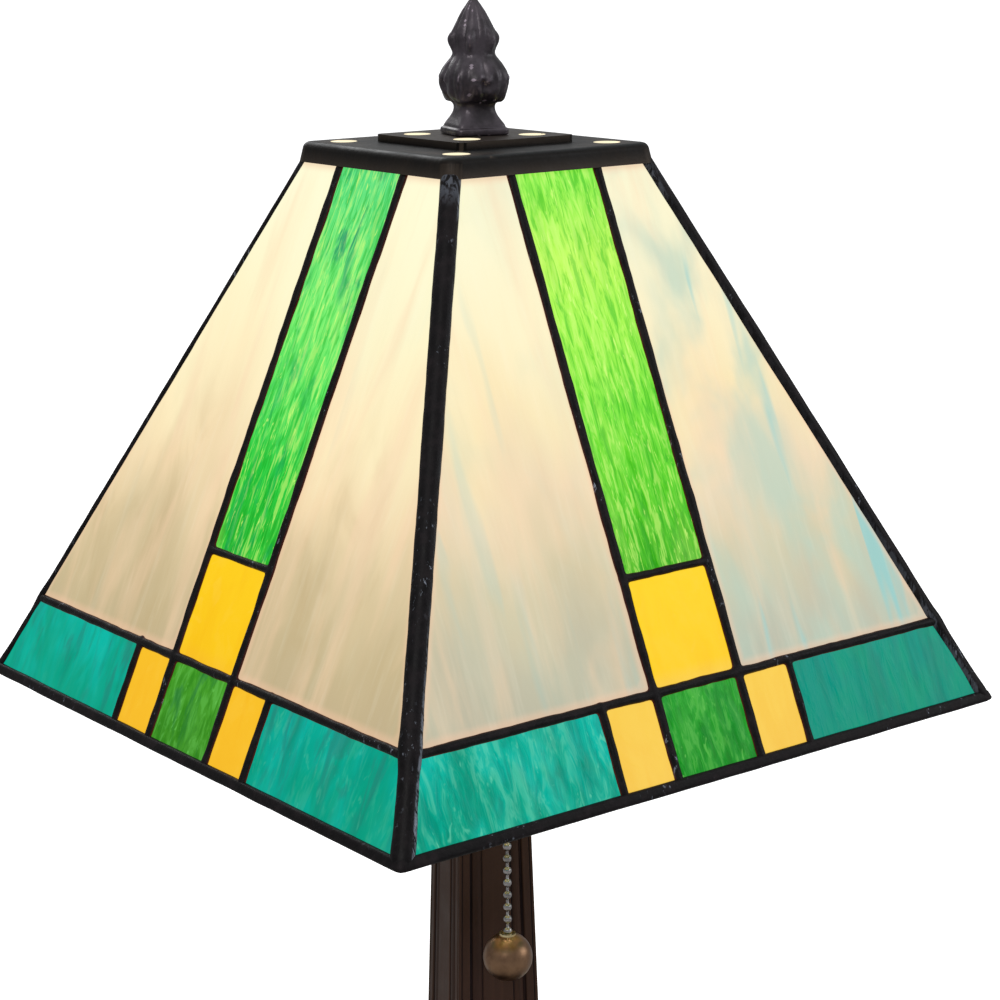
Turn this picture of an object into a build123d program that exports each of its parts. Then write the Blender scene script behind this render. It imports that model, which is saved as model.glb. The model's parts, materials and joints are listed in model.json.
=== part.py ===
"""Table lamp with a four-sided leaded glass shade on a square fluted column.

Origin at the centre of the underside, +Z up, front towards -Y, millimetres.
"""

from build123d import *
import math
import os

os.makedirs("parts", exist_ok=True)

# ------------------------------------------------------------ driving dimensions
# Shade: four sloping sides of glass held in soldered leading
shade_bottom_z = 180.0  # height of the shade's bottom edge above the table
shade_half = 101.2  # half width of the outer glass faces at the bottom
shade_top_half = 32.3  # half width of the same faces at the top
shade_height = 152.4
glass_thickness = 2.6
glass_overlap = 0.8  # how far each pane reaches under the leading
pocket_clearance = 0.05
leading_front = 0.6  # leading stands this far outside the glass
leading_back = 1.0  # and this far inside it

# Openings of one side, measured up the slope from the bottom edge
glass_low = 5.0
band_high = 25.6
main_low = 28.0
block_high = 55.4
strip_low = 57.5
glass_high = 163.5
# Openings of one side, measured across from its centre line
cream_inner = 15.9
strip_half = 13.0
square_half = 12.7
amber_inner = 15.6
amber_outer = 30.6
teal_inner = 33.2
corner_margin = 3.4  # from the glass to the shade's sharp corner line

# Cap and finial
cap_skirt_low = 149.2  # levels above the shade's bottom edge
cap_plate_top = 154.5
cap_platform_top = 156.5
cap_sheet = 0.7
cap_plate_half = 34.2
cap_edge_radius = 2.0
platform_half = 19.2
vent_radius = 3.6
finial_foot_width = 15.0
finial_height = 36.4
finial_rest_turn = -16.7  # where the screwed finial comes to rest, against the cap's square

# Base and column; they are drawn square to the axes and turned when finished
base_rest_turn = -16.0  # the shade hangs turned on its swivel, so the base is out of square
felt_thickness = 1.5
plinth_width = 110.0
plinth_top_z = 21.5
step_width = 82.0
step_top_z = 30.0
foot_width = 50.0
foot_top_z = 40.0
column_top_z = 170.0
column_width_low = 27.3
column_width_high = 20.4
collar_top_z = 176.0

# Lamp pipe (1/8 in iron pipe size) and what is threaded on it
pipe_radius = 4.8
pipe_bore = 3.25
pipe_low_z = 7.0
thread_clearance = 0.05
pipe_hole = 5.1

# Socket and bulb; the levels of the socket count from the bottom of its cap
socket_low_z = 182.6
socket_height = 54.9
seat_height = 31.4  # top face of the insulating body
cap_shell_radius = 18.9
shell_radius = 17.95
outlet_turn = 23.5  # the chain outlet points this far from the front, towards the left
outlet_reach = 29.0  # from the lamp's axis to the hanging chain
bulb_radius = 24.0
bulb_top_z = 302.0
running_clearance = 0.06

# Pull chain
bead_radius = 1.2
bead_pitch = 3.57
link_radius = 0.4
ball_radius = 6.9
ball_z = 111.5
bead_count = 24  # from the ball up to the bead under the guide

# Harp
harp_wire = 2.0
harp_leg_x = 27.2
harp_top_z = 330.5

# ------------------------------------------------------------ values worked out
slope_run = shade_half - shade_top_half
slope_length = math.hypot(slope_run, shade_height)
sin_slope = slope_run / slope_length
cos_slope = shade_height / slope_length
inner_depth = glass_thickness + leading_back
plate_top_z = shade_bottom_z + cap_plate_top
platform_top_z = shade_bottom_z + cap_platform_top
chain_low_z = ball_z + 4.0
chain_top_z = chain_low_z + bead_count * bead_pitch
guide_bend = 5.0
guide_z = chain_top_z + guide_bend
socket_seat_z = socket_low_z + seat_height
pipe_high_z = socket_low_z + 7.4
cord_high_z = socket_low_z + 12.4
outlet_dir = Vector(
    -math.sin(math.radians(outlet_turn)), -math.cos(math.radians(outlet_turn)), 0
)
across_dir = outlet_dir.cross(Vector(0, 0, 1))
chain_foot = outlet_dir * outlet_reach


def finish(builder, name, turn=0.0):
    """Turn a finished piece about the lamp's axis, label it and write its file."""
    piece = builder.part
    if turn:
        piece = piece.rotate(Axis.Z, turn)
    piece.label = name
    export_step(piece, f"parts/{name}.step")


def side_plane(side):
    """Outer glass face of one side (0 front, 1 right, 2 back, 3 left).

    x runs across, y up the slope and z outwards.
    """
    turn = math.radians(90 * side)
    out_x = math.sin(turn)
    out_y = -math.cos(turn)
    return Plane(
        origin=(shade_half * out_x, shade_half * out_y, shade_bottom_z),
        x_dir=(math.cos(turn), math.sin(turn), 0),
        z_dir=(cos_slope * out_x, cos_slope * out_y, sin_slope),
    )


def half_at(height_up_slope):
    """Half width of a side at a distance up its slope."""
    return shade_half - height_up_slope * sin_slope


def face_half_at(level):
    """Half width of the glass pyramid at a level above its bottom edge."""
    return shade_half - level * slope_run / shade_height


def polygon_face(plane, points, grow=0.0):
    """Flat face with straight edges, moved outwards all round by grow."""
    with BuildSketch(plane) as face:
        with BuildLine():
            Polyline(*points, close=True)
        make_face()
        if grow:
            offset(amount=grow, kind=Kind.INTERSECTION)
    return face.sketch


def square_face(level, width, corner=0.0, turn=0.0):
    """Horizontal square section, with rounded corners if corner is given."""
    with BuildSketch(Plane.XY.offset(level)) as face:
        if corner:
            RectangleRounded(width, width, corner, rotation=turn)
        else:
            Rectangle(width, width, rotation=turn)
    return face.sketch


def disc_face(level, radius, centre=(0, 0)):
    """Horizontal round section."""
    with BuildSketch(Plane.XY.offset(level)) as face:
        with Locations(centre):
            Circle(radius)
    return face.sketch


# ------------------------------------------------------------ base
felt_hole_radius = 20.0
plinth_corner = 3.0
plinth_shoulder_z = 14.0
plinth_wall = 5.0
cavity_top_z = 17.0
cord_exit_z = 8.0
cord_radius = 2.2
bushing_radius = 4.4
bushing_flange_radius = 5.8
bushing_flange = 1.6
bushing_plane = Plane(origin=(0, plinth_width / 2, cord_exit_z), z_dir=(0, 1, 0))

with BuildPart() as felt_pad:
    with BuildSketch():
        RectangleRounded(plinth_width - 4, plinth_width - 4, plinth_corner)
        Circle(felt_hole_radius, mode=Mode.SUBTRACT)
    extrude(amount=felt_thickness)
finish(felt_pad, "felt_pad", base_rest_turn)

with BuildPart() as base_plinth:
    extrude(
        square_face(felt_thickness, plinth_width, plinth_corner),
        amount=plinth_shoulder_z - felt_thickness,
    )
    loft(
        [
            square_face(plinth_shoulder_z, plinth_width - 3, plinth_corner),
            square_face(plinth_top_z, plinth_width - 16, plinth_corner),
        ]
    )
    extrude(
        square_face(felt_thickness, plinth_width - 2 * plinth_wall),
        amount=cavity_top_z - felt_thickness,
        mode=Mode.SUBTRACT,
    )
    with Locations((0, 0, plinth_top_z)):
        Hole(pipe_hole)
    with BuildSketch(bushing_plane):
        Circle(bushing_radius)
    extrude(amount=-plinth_wall, mode=Mode.SUBTRACT)
finish(base_plinth, "base_plinth", base_rest_turn)

with BuildPart() as base_step:
    extrude(square_face(plinth_top_z, step_width, plinth_corner), amount=3.0)
    loft(
        [
            square_face(plinth_top_z + 3.0, step_width - 3, plinth_corner),
            square_face(step_top_z, step_width - 18, plinth_corner),
        ]
    )
    with Locations((0, 0, step_top_z)):
        Hole(pipe_hole)
finish(base_step, "base_step", base_rest_turn)

with BuildPart() as column_foot:
    extrude(square_face(step_top_z, foot_width, 2.0), amount=3.0)
    loft(
        [
            square_face(step_top_z + 3.0, foot_width - 3, 1.5),
            square_face(step_top_z + 7.0, column_width_low + 8, 1.5),
        ]
    )
    extrude(square_face(step_top_z + 7.0, column_width_low + 6, 1.0), amount=3.0)
    with Locations((0, 0, foot_top_z)):
        Hole(pipe_hole)
finish(column_foot, "column_foot", base_rest_turn)

# Flutes of half a column face: fraction of the width from the corner, depth below it
flutes = (
    (0.0, 0.0),
    (0.030, 0.0),
    (0.042, 0.35),
    (0.054, 0.0),
    (0.140, 0.0),
    (0.152, 0.8),
    (0.176, 0.8),
    (0.188, 0.3),
    (0.240, 0.0),
    (0.292, 0.3),
    (0.304, 0.55),
    (0.316, 0.0),
)


def column_section(level, width):
    """Square section with the same flutes on all four faces."""
    half_face = [(fraction * width, depth) for fraction, depth in flutes]
    whole_face = half_face + [(width - along, depth) for along, depth in half_face[:0:-1]]
    points = []
    for side in range(4):
        turn = math.radians(90 * side)
        for along, depth in whole_face:
            across = along - width / 2
            out = width / 2 - depth
            points.append(
                (
                    across * math.cos(turn) + out * math.sin(turn),
                    across * math.sin(turn) - out * math.cos(turn),
                )
            )
    return polygon_face(Plane.XY.offset(level), points)


with BuildPart() as column:
    loft(
        [
            column_section(foot_top_z, column_width_low),
            column_section(column_top_z, column_width_high),
        ],
        ruled=True,
    )
    with Locations((0, 0, column_top_z)):
        Hole(pipe_hole)
finish(column, "column", base_rest_turn)

with BuildPart() as column_collar:
    extrude(square_face(column_top_z, column_width_high + 5.0, 1.0), amount=3.0)
    loft(
        [
            square_face(column_top_z + 3.0, column_width_high + 3.5, 1.0),
            square_face(collar_top_z, column_width_high, 1.0),
        ]
    )
    with Locations((0, 0, collar_top_z)):
        Hole(pipe_hole)
finish(column_collar, "column_collar", base_rest_turn)

# ------------------------------------------------------------ pipe, nuts and weight
weight_low_z = 12.0
weight_radius = 44.0
washer_low_z = 10.5
washer_radius = 12.0
nut_low_z = 7.5
nut_hex_radius = 8.1
check_ring_top_z = collar_top_z + 2.0
check_ring_radius = 11.0
saddle_sheet = 1.6
neck_nut_low_z = check_ring_top_z + saddle_sheet

with BuildPart() as lamp_pipe:
    with BuildSketch(Plane.XY.offset(pipe_low_z)):
        Circle(pipe_radius)
        Circle(pipe_bore, mode=Mode.SUBTRACT)
    extrude(amount=pipe_high_z - pipe_low_z)
finish(lamp_pipe, "lamp_pipe")

with BuildPart() as base_weight:
    with BuildSketch(Plane.XY.offset(weight_low_z)):
        Circle(weight_radius)
        Circle(pipe_hole, mode=Mode.SUBTRACT)
    extrude(amount=cavity_top_z - weight_low_z)
finish(base_weight, "base_weight")

with BuildPart() as base_washer:
    with BuildSketch(Plane.XY.offset(washer_low_z)):
        Circle(washer_radius)
        Circle(pipe_hole, mode=Mode.SUBTRACT)
    extrude(amount=weight_low_z - washer_low_z)
finish(base_washer, "base_washer")

with BuildPart() as base_nut:
    with BuildSketch(Plane.XY.offset(nut_low_z)):
        RegularPolygon(nut_hex_radius, 6)
        Circle(pipe_radius + thread_clearance, mode=Mode.SUBTRACT)
    extrude(amount=washer_low_z - nut_low_z)
finish(base_nut, "base_nut")

with BuildPart() as check_ring:
    with BuildSketch(Plane.XY.offset(collar_top_z)):
        Circle(check_ring_radius)
        Circle(pipe_hole, mode=Mode.SUBTRACT)
    extrude(amount=check_ring_top_z - collar_top_z)
    fillet(check_ring.edges().group_by(Axis.Z)[-1].sort_by(SortBy.RADIUS)[-1], 0.8)
finish(check_ring, "check_ring")

with BuildPart() as neck_nut:
    with BuildSketch(Plane.XY.offset(neck_nut_low_z)):
        RegularPolygon(nut_hex_radius, 6)
        Circle(pipe_radius + thread_clearance, mode=Mode.SUBTRACT)
    extrude(amount=socket_low_z - neck_nut_low_z)
finish(neck_nut, "neck_nut")

# ------------------------------------------------------------ cord and plug
cord_low_z = 4.2
cord_turn = 5.0
cord_high_y = 42  # the cord lies straight through the bushing between these two
cord_out_y = 60
plug_start = (-36, 72, 7)
plug_plane = Plane(origin=plug_start, x_dir=(0, 1, 0), z_dir=(-1, 0, 0))
plug_neck = 10
plug_length = 26
plug_width = 20
plug_height = 13
blade_spacing = 12.7
blade_thickness = 1.5
blade_width = 6.3
blade_length = 16

with BuildPart() as power_cord:
    with BuildLine():
        Line((0, 0, cord_high_z), (0, 0, cord_low_z + cord_turn))
        TangentArc(
            (0, 0, cord_low_z + cord_turn),
            (0, cord_turn, cord_low_z),
            tangent=(0, 0, -1),
        )
        Spline(
            (0, cord_turn, cord_low_z),
            (0, cord_high_y, cord_exit_z),
            tangents=((0, 1, 0), (0, 1, 0)),
        )
        Line((0, cord_high_y, cord_exit_z), (0, cord_out_y, cord_exit_z))
        Spline(
            (0, cord_out_y, cord_exit_z),
            (-11, 70.5, 4.5),
            plug_start,
            tangents=((0, 1, 0), (-1, 0, 0)),
        )
    with BuildSketch(Plane(origin=(0, 0, cord_high_z), z_dir=(0, 0, -1))):
        Circle(cord_radius)
    sweep()
finish(power_cord, "power_cord", base_rest_turn)

with BuildPart() as cord_bushing:
    with BuildSketch(bushing_plane.offset(-plinth_wall)):
        Circle(bushing_radius)
    extrude(amount=plinth_wall)
    with BuildSketch(bushing_plane):
        Circle(bushing_flange_radius)
    extrude(amount=bushing_flange)
    with BuildSketch(bushing_plane.offset(-plinth_wall)):
        Circle(cord_radius + thread_clearance)
    extrude(amount=plinth_wall + bushing_flange, mode=Mode.SUBTRACT)
finish(cord_bushing, "cord_bushing", base_rest_turn)


def plug_face(along, width, height, corner):
    """Section of the plug at a distance from where the cord enters it."""
    with BuildSketch(plug_plane.offset(along)) as face:
        RectangleRounded(width, height, corner)
    return face.sketch


with BuildPart() as plug_body:
    loft(
        [
            plug_face(0, 9, 7, 2.5),
            plug_face(plug_neck, plug_width, plug_height, 3),
        ]
    )
    extrude(
        plug_face(plug_neck, plug_width, plug_height, 3),
        amount=plug_length - plug_neck,
    )
finish(plug_body, "plug_body", base_rest_turn)

with BuildPart() as plug_blades:
    with BuildSketch(plug_plane.offset(plug_length)):
        with GridLocations(blade_spacing, 0, 2, 1):
            Rectangle(blade_thickness, blade_width)
    extrude(amount=blade_length)
finish(plug_blades, "plug_blades", base_rest_turn)

# ------------------------------------------------------------ harp
saddle_half = 28.2
saddle_width = 12.0
saddle_arm_top = check_ring_top_z + 14.0
harp_foot_z = saddle_arm_top + 8.1
leg_top_z = harp_foot_z + 22.9
sleeve_low_z = saddle_arm_top + 1.0
sleeve_length = 18.0
sleeve_radius = 3.3
harp_boss_radius = 6.0
harp_flat = 7.0  # half length of the flat at the top of the harp
bow_x = 42.0  # widest point of the bow
bow_z = 258.0
shoulder_x = 28.0  # where the bow turns in towards the top
shoulder_z = 305.0
harp_boss_low_z = harp_top_z - harp_wire
harp_boss_high_z = harp_top_z + harp_wire

with BuildPart() as harp_saddle:
    with BuildSketch(Plane.XZ.offset(-saddle_width / 2)):
        with BuildLine():
            Polyline(
                (-saddle_half - 1.0, saddle_arm_top),
                (-saddle_half, check_ring_top_z + 2.5),
                (-saddle_half + 2.5, check_ring_top_z),
                (saddle_half - 2.5, check_ring_top_z),
                (saddle_half, check_ring_top_z + 2.5),
                (saddle_half + 1.0, saddle_arm_top),
                (saddle_half - 3.0, saddle_arm_top),
                (saddle_half - saddle_sheet, check_ring_top_z + 3.2),
                (saddle_half - 3.2, check_ring_top_z + saddle_sheet),
                (-saddle_half + 3.2, check_ring_top_z + saddle_sheet),
                (-saddle_half + saddle_sheet, check_ring_top_z + 3.2),
                (-saddle_half + 3.0, saddle_arm_top),
                close=True,
            )
        make_face()
    extrude(amount=saddle_width)
    with BuildSketch(Plane.XY.offset(saddle_arm_top - 1.0)):
        with GridLocations(2 * harp_leg_x, 0, 2, 1):
            Circle(harp_wire)
    extrude(amount=harp_foot_z - saddle_arm_top + 0.9)
    with Locations((0, 0, check_ring_top_z + saddle_sheet)):
        Hole(pipe_hole)
finish(harp_saddle, "harp_saddle")

with BuildPart() as harp_loop:
    with BuildLine():
        Line((harp_leg_x, 0, harp_foot_z), (harp_leg_x, 0, leg_top_z))
        Spline(
            (harp_leg_x, 0, leg_top_z),
            (bow_x, 0, bow_z),
            (shoulder_x, 0, shoulder_z),
            (harp_flat, 0, harp_top_z),
            tangents=((0, 0, 1), (-1, 0, 0)),
        )
        Line((harp_flat, 0, harp_top_z), (-harp_flat, 0, harp_top_z))
        Spline(
            (-harp_flat, 0, harp_top_z),
            (-shoulder_x, 0, shoulder_z),
            (-bow_x, 0, bow_z),
            (-harp_leg_x, 0, leg_top_z),
            tangents=((-1, 0, 0), (0, 0, -1)),
        )
        Line((-harp_leg_x, 0, leg_top_z), (-harp_leg_x, 0, harp_foot_z))
    with BuildSketch(Plane(origin=(harp_leg_x, 0, harp_foot_z), z_dir=(0, 0, 1))):
        Circle(harp_wire)
    sweep()
    extrude(
        disc_face(harp_boss_low_z, harp_boss_radius),
        amount=harp_boss_high_z - harp_boss_low_z,
    )
    with Locations((0, 0, harp_boss_high_z)):
        Hole(2.5 + running_clearance)
finish(harp_loop, "harp_loop")

for sleeve_side, sleeve_sign in (("left", -1), ("right", 1)):
    with BuildPart() as harp_sleeve:
        with BuildSketch(Plane.XY.offset(sleeve_low_z)):
            with Locations((sleeve_sign * harp_leg_x, 0)):
                Circle(sleeve_radius)
                Circle(harp_wire + 0.08, mode=Mode.SUBTRACT)
        extrude(amount=sleeve_length)
        chamfer(harp_sleeve.edges().group_by(Axis.Z)[-1].sort_by(SortBy.RADIUS)[-1], 0.6)
    finish(harp_sleeve, f"harp_sleeve_{sleeve_side}")

stud_seat_z = platform_top_z - cap_sheet - 0.05
stud_top_z = 346.0
stud_radius = 3.1

with BuildPart() as harp_stud:
    extrude(disc_face(harp_boss_low_z - 1.6, 4.0), amount=1.55)
    extrude(disc_face(harp_boss_low_z - 0.05, 2.5), amount=harp_boss_high_z - harp_boss_low_z + 0.1)
    extrude(disc_face(harp_boss_high_z + 0.05, 5.0), amount=stud_seat_z - harp_boss_high_z - 0.05)
    extrude(disc_face(stud_seat_z, stud_radius), amount=stud_top_z - stud_seat_z)
    chamfer(harp_stud.edges().group_by(Axis.Z)[-1], 0.6)
finish(harp_stud, "harp_stud")

# ------------------------------------------------------------ finial
finial_low_z = platform_top_z + 0.05
finial_bore = 4.05
insert_radius = 4.0

with BuildPart() as finial_insert:
    with BuildSketch(Plane.XY.offset(finial_low_z)):
        Circle(insert_radius)
        Circle(stud_radius + 0.08, mode=Mode.SUBTRACT)
    extrude(amount=11)
finish(finial_insert, "finial_insert")

foot_step = 1.8
foot_top = 4.0
bud_z = finial_low_z + 15.8
knob_z = finial_low_z + 26.4

with BuildPart() as finial:
    extrude(square_face(finial_low_z, finial_foot_width, 0.8, finial_rest_turn), amount=foot_step)
    loft(
        [
            square_face(finial_low_z + foot_step, finial_foot_width - 2.4, 0.8, finial_rest_turn),
            square_face(finial_low_z + foot_top, 10.6, 0.8, finial_rest_turn),
        ]
    )
    with BuildSketch(Plane.XZ):
        with BuildLine():
            Line((0, finial_low_z + 3.0), (5.6, finial_low_z + 3.0))
            Spline(
                (5.6, finial_low_z + 3.0),
                (5.3, finial_low_z + 8.4),
                (8.2, finial_low_z + 15.8),
                (5.5, finial_low_z + 22.0),
                (5.6, finial_low_z + 25.5),
                (4.7, finial_low_z + 29.5),
                (0.5, finial_low_z + finial_height),
            )
            Line(
                (0.5, finial_low_z + finial_height),
                (0, finial_low_z + finial_height),
            )
            Line((0, finial_low_z + finial_height), (0, finial_low_z + 3.0))
        make_face()
    revolve(axis=Axis.Z)
    with Locations((0, 0, bud_z)):
        with PolarLocations(4.8, 4, start_angle=finial_rest_turn):
            Sphere(4.4)
    with Locations((0, 0, knob_z)):
        with PolarLocations(4.6, 4, start_angle=finial_rest_turn):
            Sphere(2.0)
    with Locations((0, 0, finial_low_z)):
        Cylinder(
            finial_bore,
            12.0,
            align=(Align.CENTER, Align.CENTER, Align.MIN),
            mode=Mode.SUBTRACT,
        )
finish(finial, "finial")

# ------------------------------------------------------------ shade
# Solid slabs that the leading of each side is cut from. They meet at the corners on
# the planes x = y and x = -y, with a small gap that the corner seams fill.
slab_low = 1.8
slab_high = 167.2
slab_edge_margin = 2.0
corner_gap = 0.1
slabs = []
for side in range(4):
    with BuildPart() as slab:
        extrude(
            polygon_face(
                side_plane(side).offset(-inner_depth),
                [
                    (-half_at(slab_low) + slab_edge_margin, slab_low),
                    (half_at(slab_low) - slab_edge_margin, slab_low),
                    (half_at(slab_high) - slab_edge_margin, slab_high),
                    (-half_at(slab_high) + slab_edge_margin, slab_high),
                ],
            ),
            amount=inner_depth + leading_front,
        )
        turn = 90 * side
        wedge_plane = Plane(
            origin=(0, 0, shade_bottom_z - 10),
            x_dir=(math.cos(math.radians(turn)), math.sin(math.radians(turn)), 0),
            z_dir=(0, 0, 1),
        )
        wedge_reach = shade_half + 20
        extrude(
            polygon_face(
                wedge_plane,
                [
                    (0, -corner_gap),
                    (-wedge_reach + corner_gap, -wedge_reach),
                    (wedge_reach - corner_gap, -wedge_reach),
                ],
            ),
            amount=shade_height + 20,
            mode=Mode.INTERSECT,
        )
    slabs.append(slab.part)


def beside_corner(inner, low, high):
    """Opening between an upright came and the corner of the shade."""
    return [
        (inner, low),
        (half_at(low) - corner_margin, low),
        (half_at(high) - corner_margin, high),
        (inner, high),
    ]


def upright(left, right, low, high):
    """Rectangular opening."""
    return [(left, low), (right, low), (right, high), (left, high)]


def flipped(points):
    """The same opening on the other half of the side."""
    return [(-across, up) for across, up in points]


right_half = {
    "cream_glass": beside_corner(cream_inner, main_low, glass_high),
    "teal_glass": beside_corner(teal_inner, glass_low, band_high),
    "amber_glass": upright(amber_inner, amber_outer, glass_low, band_high),
}
openings = {
    "green_glass_strip": upright(-strip_half, strip_half, strip_low, glass_high),
    "amber_glass_block": upright(-strip_half, strip_half, main_low, block_high),
    "green_glass_square": upright(-square_half, square_half, glass_low, band_high),
}
for glass_name, points in right_half.items():
    openings[f"{glass_name}_right"] = points
    openings[f"{glass_name}_left"] = flipped(points)

for side, side_name in enumerate(("front", "right", "back", "left")):
    with BuildPart() as leading:
        add(slabs[side])
        for points in openings.values():
            extrude(
                polygon_face(side_plane(side).offset(-inner_depth - 1), points),
                amount=inner_depth + leading_front + 2,
                mode=Mode.SUBTRACT,
            )
            extrude(
                polygon_face(
                    side_plane(side).offset(-glass_thickness - pocket_clearance),
                    points,
                    glass_overlap + pocket_clearance,
                ),
                amount=glass_thickness + 2 * pocket_clearance,
                mode=Mode.SUBTRACT,
            )
    finish(leading, f"{side_name}_panel_leading")

for glass_name, points in openings.items():
    with BuildPart() as panes:
        for side in range(4):
            extrude(
                polygon_face(side_plane(side).offset(-glass_thickness), points, glass_overlap),
                amount=glass_thickness,
            )
    finish(panes, glass_name)

# The rim is a channel round the bottom edge of all four sides
rim_low = 1.3
rim_high = glass_low * cos_slope
rim_front = 1.6
rim_back = inner_depth + 1.0

with BuildPart() as shade_rim:
    loft(
        [
            square_face(
                shade_bottom_z + level,
                2 * (face_half_at(level) + rim_front / cos_slope),
            )
            for level in (rim_low, rim_high)
        ]
    )
    loft(
        [
            square_face(
                shade_bottom_z + level,
                2 * (face_half_at(level) - rim_back / cos_slope),
            )
            for level in (rim_low, rim_high)
        ],
        mode=Mode.SUBTRACT,
    )
    for slab_part in slabs:
        add(slab_part, mode=Mode.SUBTRACT)
finish(shade_rim, "shade_rim")

# Pressed sheet cap: a flared skirt, a flat plate and a raised square platform
skirt_front = leading_front + cap_sheet
cap_corner = 4.5
skirt_half = face_half_at(cap_skirt_low) + skirt_front / cos_slope
outer_vent_at = 25.2
inner_vent_at = 11.0

with BuildPart() as vented_cap:
    loft(
        [
            square_face(shade_bottom_z + cap_skirt_low, 2 * skirt_half, cap_corner),
            square_face(plate_top_z, 2 * cap_plate_half, cap_corner),
        ]
    )
    fillet(vented_cap.edges().group_by(Axis.Z)[-1], cap_edge_radius)
    extrude(
        square_face(plate_top_z - cap_sheet, 2 * platform_half, 2.0),
        amount=cap_platform_top - cap_plate_top + cap_sheet,
    )
    loft(
        [
            square_face(
                shade_bottom_z + cap_skirt_low,
                2 * (skirt_half - cap_sheet),
                cap_corner - cap_sheet,
            ),
            square_face(
                plate_top_z - cap_sheet,
                2 * (cap_plate_half - cap_sheet),
                cap_corner - cap_sheet,
            ),
        ],
        mode=Mode.SUBTRACT,
    )
    extrude(
        square_face(plate_top_z - cap_sheet, 2 * (platform_half - cap_sheet), 1.0),
        amount=cap_platform_top - cap_plate_top,
        mode=Mode.SUBTRACT,
    )
    for slab_part in slabs:
        add(slab_part, mode=Mode.SUBTRACT)
    with Locations((0, 0, platform_top_z)):
        Hole(stud_radius + 0.08)
        with GridLocations(2 * outer_vent_at, 2 * outer_vent_at, 2, 2):
            Hole(vent_radius)
        with GridLocations(2 * inner_vent_at, 2 * inner_vent_at, 2, 2):
            Hole(vent_radius)
finish(vented_cap, "vented_cap")

# One solder bead down each corner, from the cap to the rim
seam_radius = 2.6
seam_inset = 1.3
seam_foot = shade_half - seam_inset
seam_head = shade_top_half - seam_inset

with BuildPart() as corner_seams:
    for sign_x, sign_y in ((-1, -1), (1, -1), (1, 1), (-1, 1)):
        foot = Vector(sign_x * seam_foot, sign_y * seam_foot, shade_bottom_z)
        head = Vector(
            sign_x * seam_head, sign_y * seam_head, shade_bottom_z + shade_height
        )
        run = head - foot
        with BuildSketch(Plane(origin=foot, z_dir=run)):
            Circle(seam_radius)
        extrude(amount=run.length)
    for neighbour in (*slabs, shade_rim.part, vented_cap.part):
        add(neighbour, mode=Mode.SUBTRACT)
    with BuildSketch(Plane.XY.offset(shade_bottom_z + rim_low)):
        Rectangle(4 * shade_half, 4 * shade_half)
    extrude(amount=cap_skirt_low - rim_low, mode=Mode.INTERSECT)
finish(corner_seams, "corner_seams")

# ------------------------------------------------------------ socket
outlet_plane = Plane(origin=(0, 0, guide_z), x_dir=outlet_dir, z_dir=(0, 0, 1))
guide_radius = 3.1
guide_bore = 2.3
outlet_hole = guide_radius + 0.2
pivot_reach = 10.0  # switch shaft, measured out from the lamp's axis
pivot_drop = 8.5  # and below the guide
pivot_point = outlet_dir * pivot_reach + Vector(0, 0, guide_z - pivot_drop)
switch_plane = Plane(origin=pivot_point, x_dir=outlet_dir, z_dir=across_dir)
shaft_radius = 1.5
lever_arm = 9.0
lever_lean = 23.5
lever_half_thickness = 0.75
lever_tip_radius = 1.3
rotor_start = 1.15
rotor_end = 6.2
shaft_end = 8.8
cavity_low_side = -4.0
cavity_high_side = 6.8

socket_profile = Plane(origin=(0, 0, socket_low_z), x_dir=(1, 0, 0), z_dir=(0, -1, 0))
cap_inner_radius = shell_radius + 0.1
cap_rim_height = 18.0
set_screw_z = socket_low_z + 2.3

with BuildPart() as socket_cap:
    with BuildSketch(socket_profile):
        with BuildLine():
            Polyline(
                (cap_inner_radius, 14.4),
                (cap_inner_radius, cap_rim_height),
                (cap_shell_radius, cap_rim_height),
                (cap_shell_radius, 13.9),
            )
            ThreePointArc((cap_shell_radius, 13.9), (15.4, 7.2), (7.2, 4.6))
            Polyline(
                (7.2, 4.6),
                (7.2, 0),
                (pipe_radius + thread_clearance, 0),
                (pipe_radius + thread_clearance, 6.4),
                (9.0, 6.4),
            )
            ThreePointArc((9.0, 6.4), (15.2, 8.8), (cap_inner_radius, 14.4))
        make_face()
    revolve(axis=Axis.Z)
    with BuildSketch(Plane(origin=(0, 0, set_screw_z), z_dir=(1, 0, 0))):
        Circle(1.45)
    extrude(amount=10, mode=Mode.SUBTRACT)
finish(socket_cap, "socket_cap")

with BuildPart() as socket_set_screw:
    with BuildSketch(Plane(origin=(pipe_radius + 0.1, 0, set_screw_z), z_dir=(1, 0, 0))):
        Circle(1.4)
    extrude(amount=4.2)
    with BuildSketch(Plane(origin=(pipe_radius + 3.5, 0, set_screw_z), z_dir=(1, 0, 0))):
        Rectangle(0.6, 4)
    extrude(amount=2, mode=Mode.SUBTRACT)
finish(socket_set_screw, "socket_set_screw")

shell_wall = 0.6
shell_low = 14.7
shell_shoulder = socket_height - 2.9

with BuildPart() as socket_shell:
    with BuildSketch(socket_profile):
        with BuildLine():
            Polyline(
                (15.4, socket_height - shell_wall),
                (15.4, socket_height),
                (16.6, socket_height),
                (shell_radius, shell_shoulder),
                (shell_radius, shell_low),
                (shell_radius - shell_wall, shell_low),
                (shell_radius - shell_wall, shell_shoulder - 0.2),
                (16.3, socket_height - shell_wall),
                close=True,
            )
        make_face()
    revolve(axis=Axis.Z)
    with BuildSketch(Plane(origin=(0, 0, guide_z), z_dir=outlet_dir)):
        Circle(outlet_hole)
    extrude(amount=25, mode=Mode.SUBTRACT)
finish(socket_shell, "socket_shell")

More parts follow.
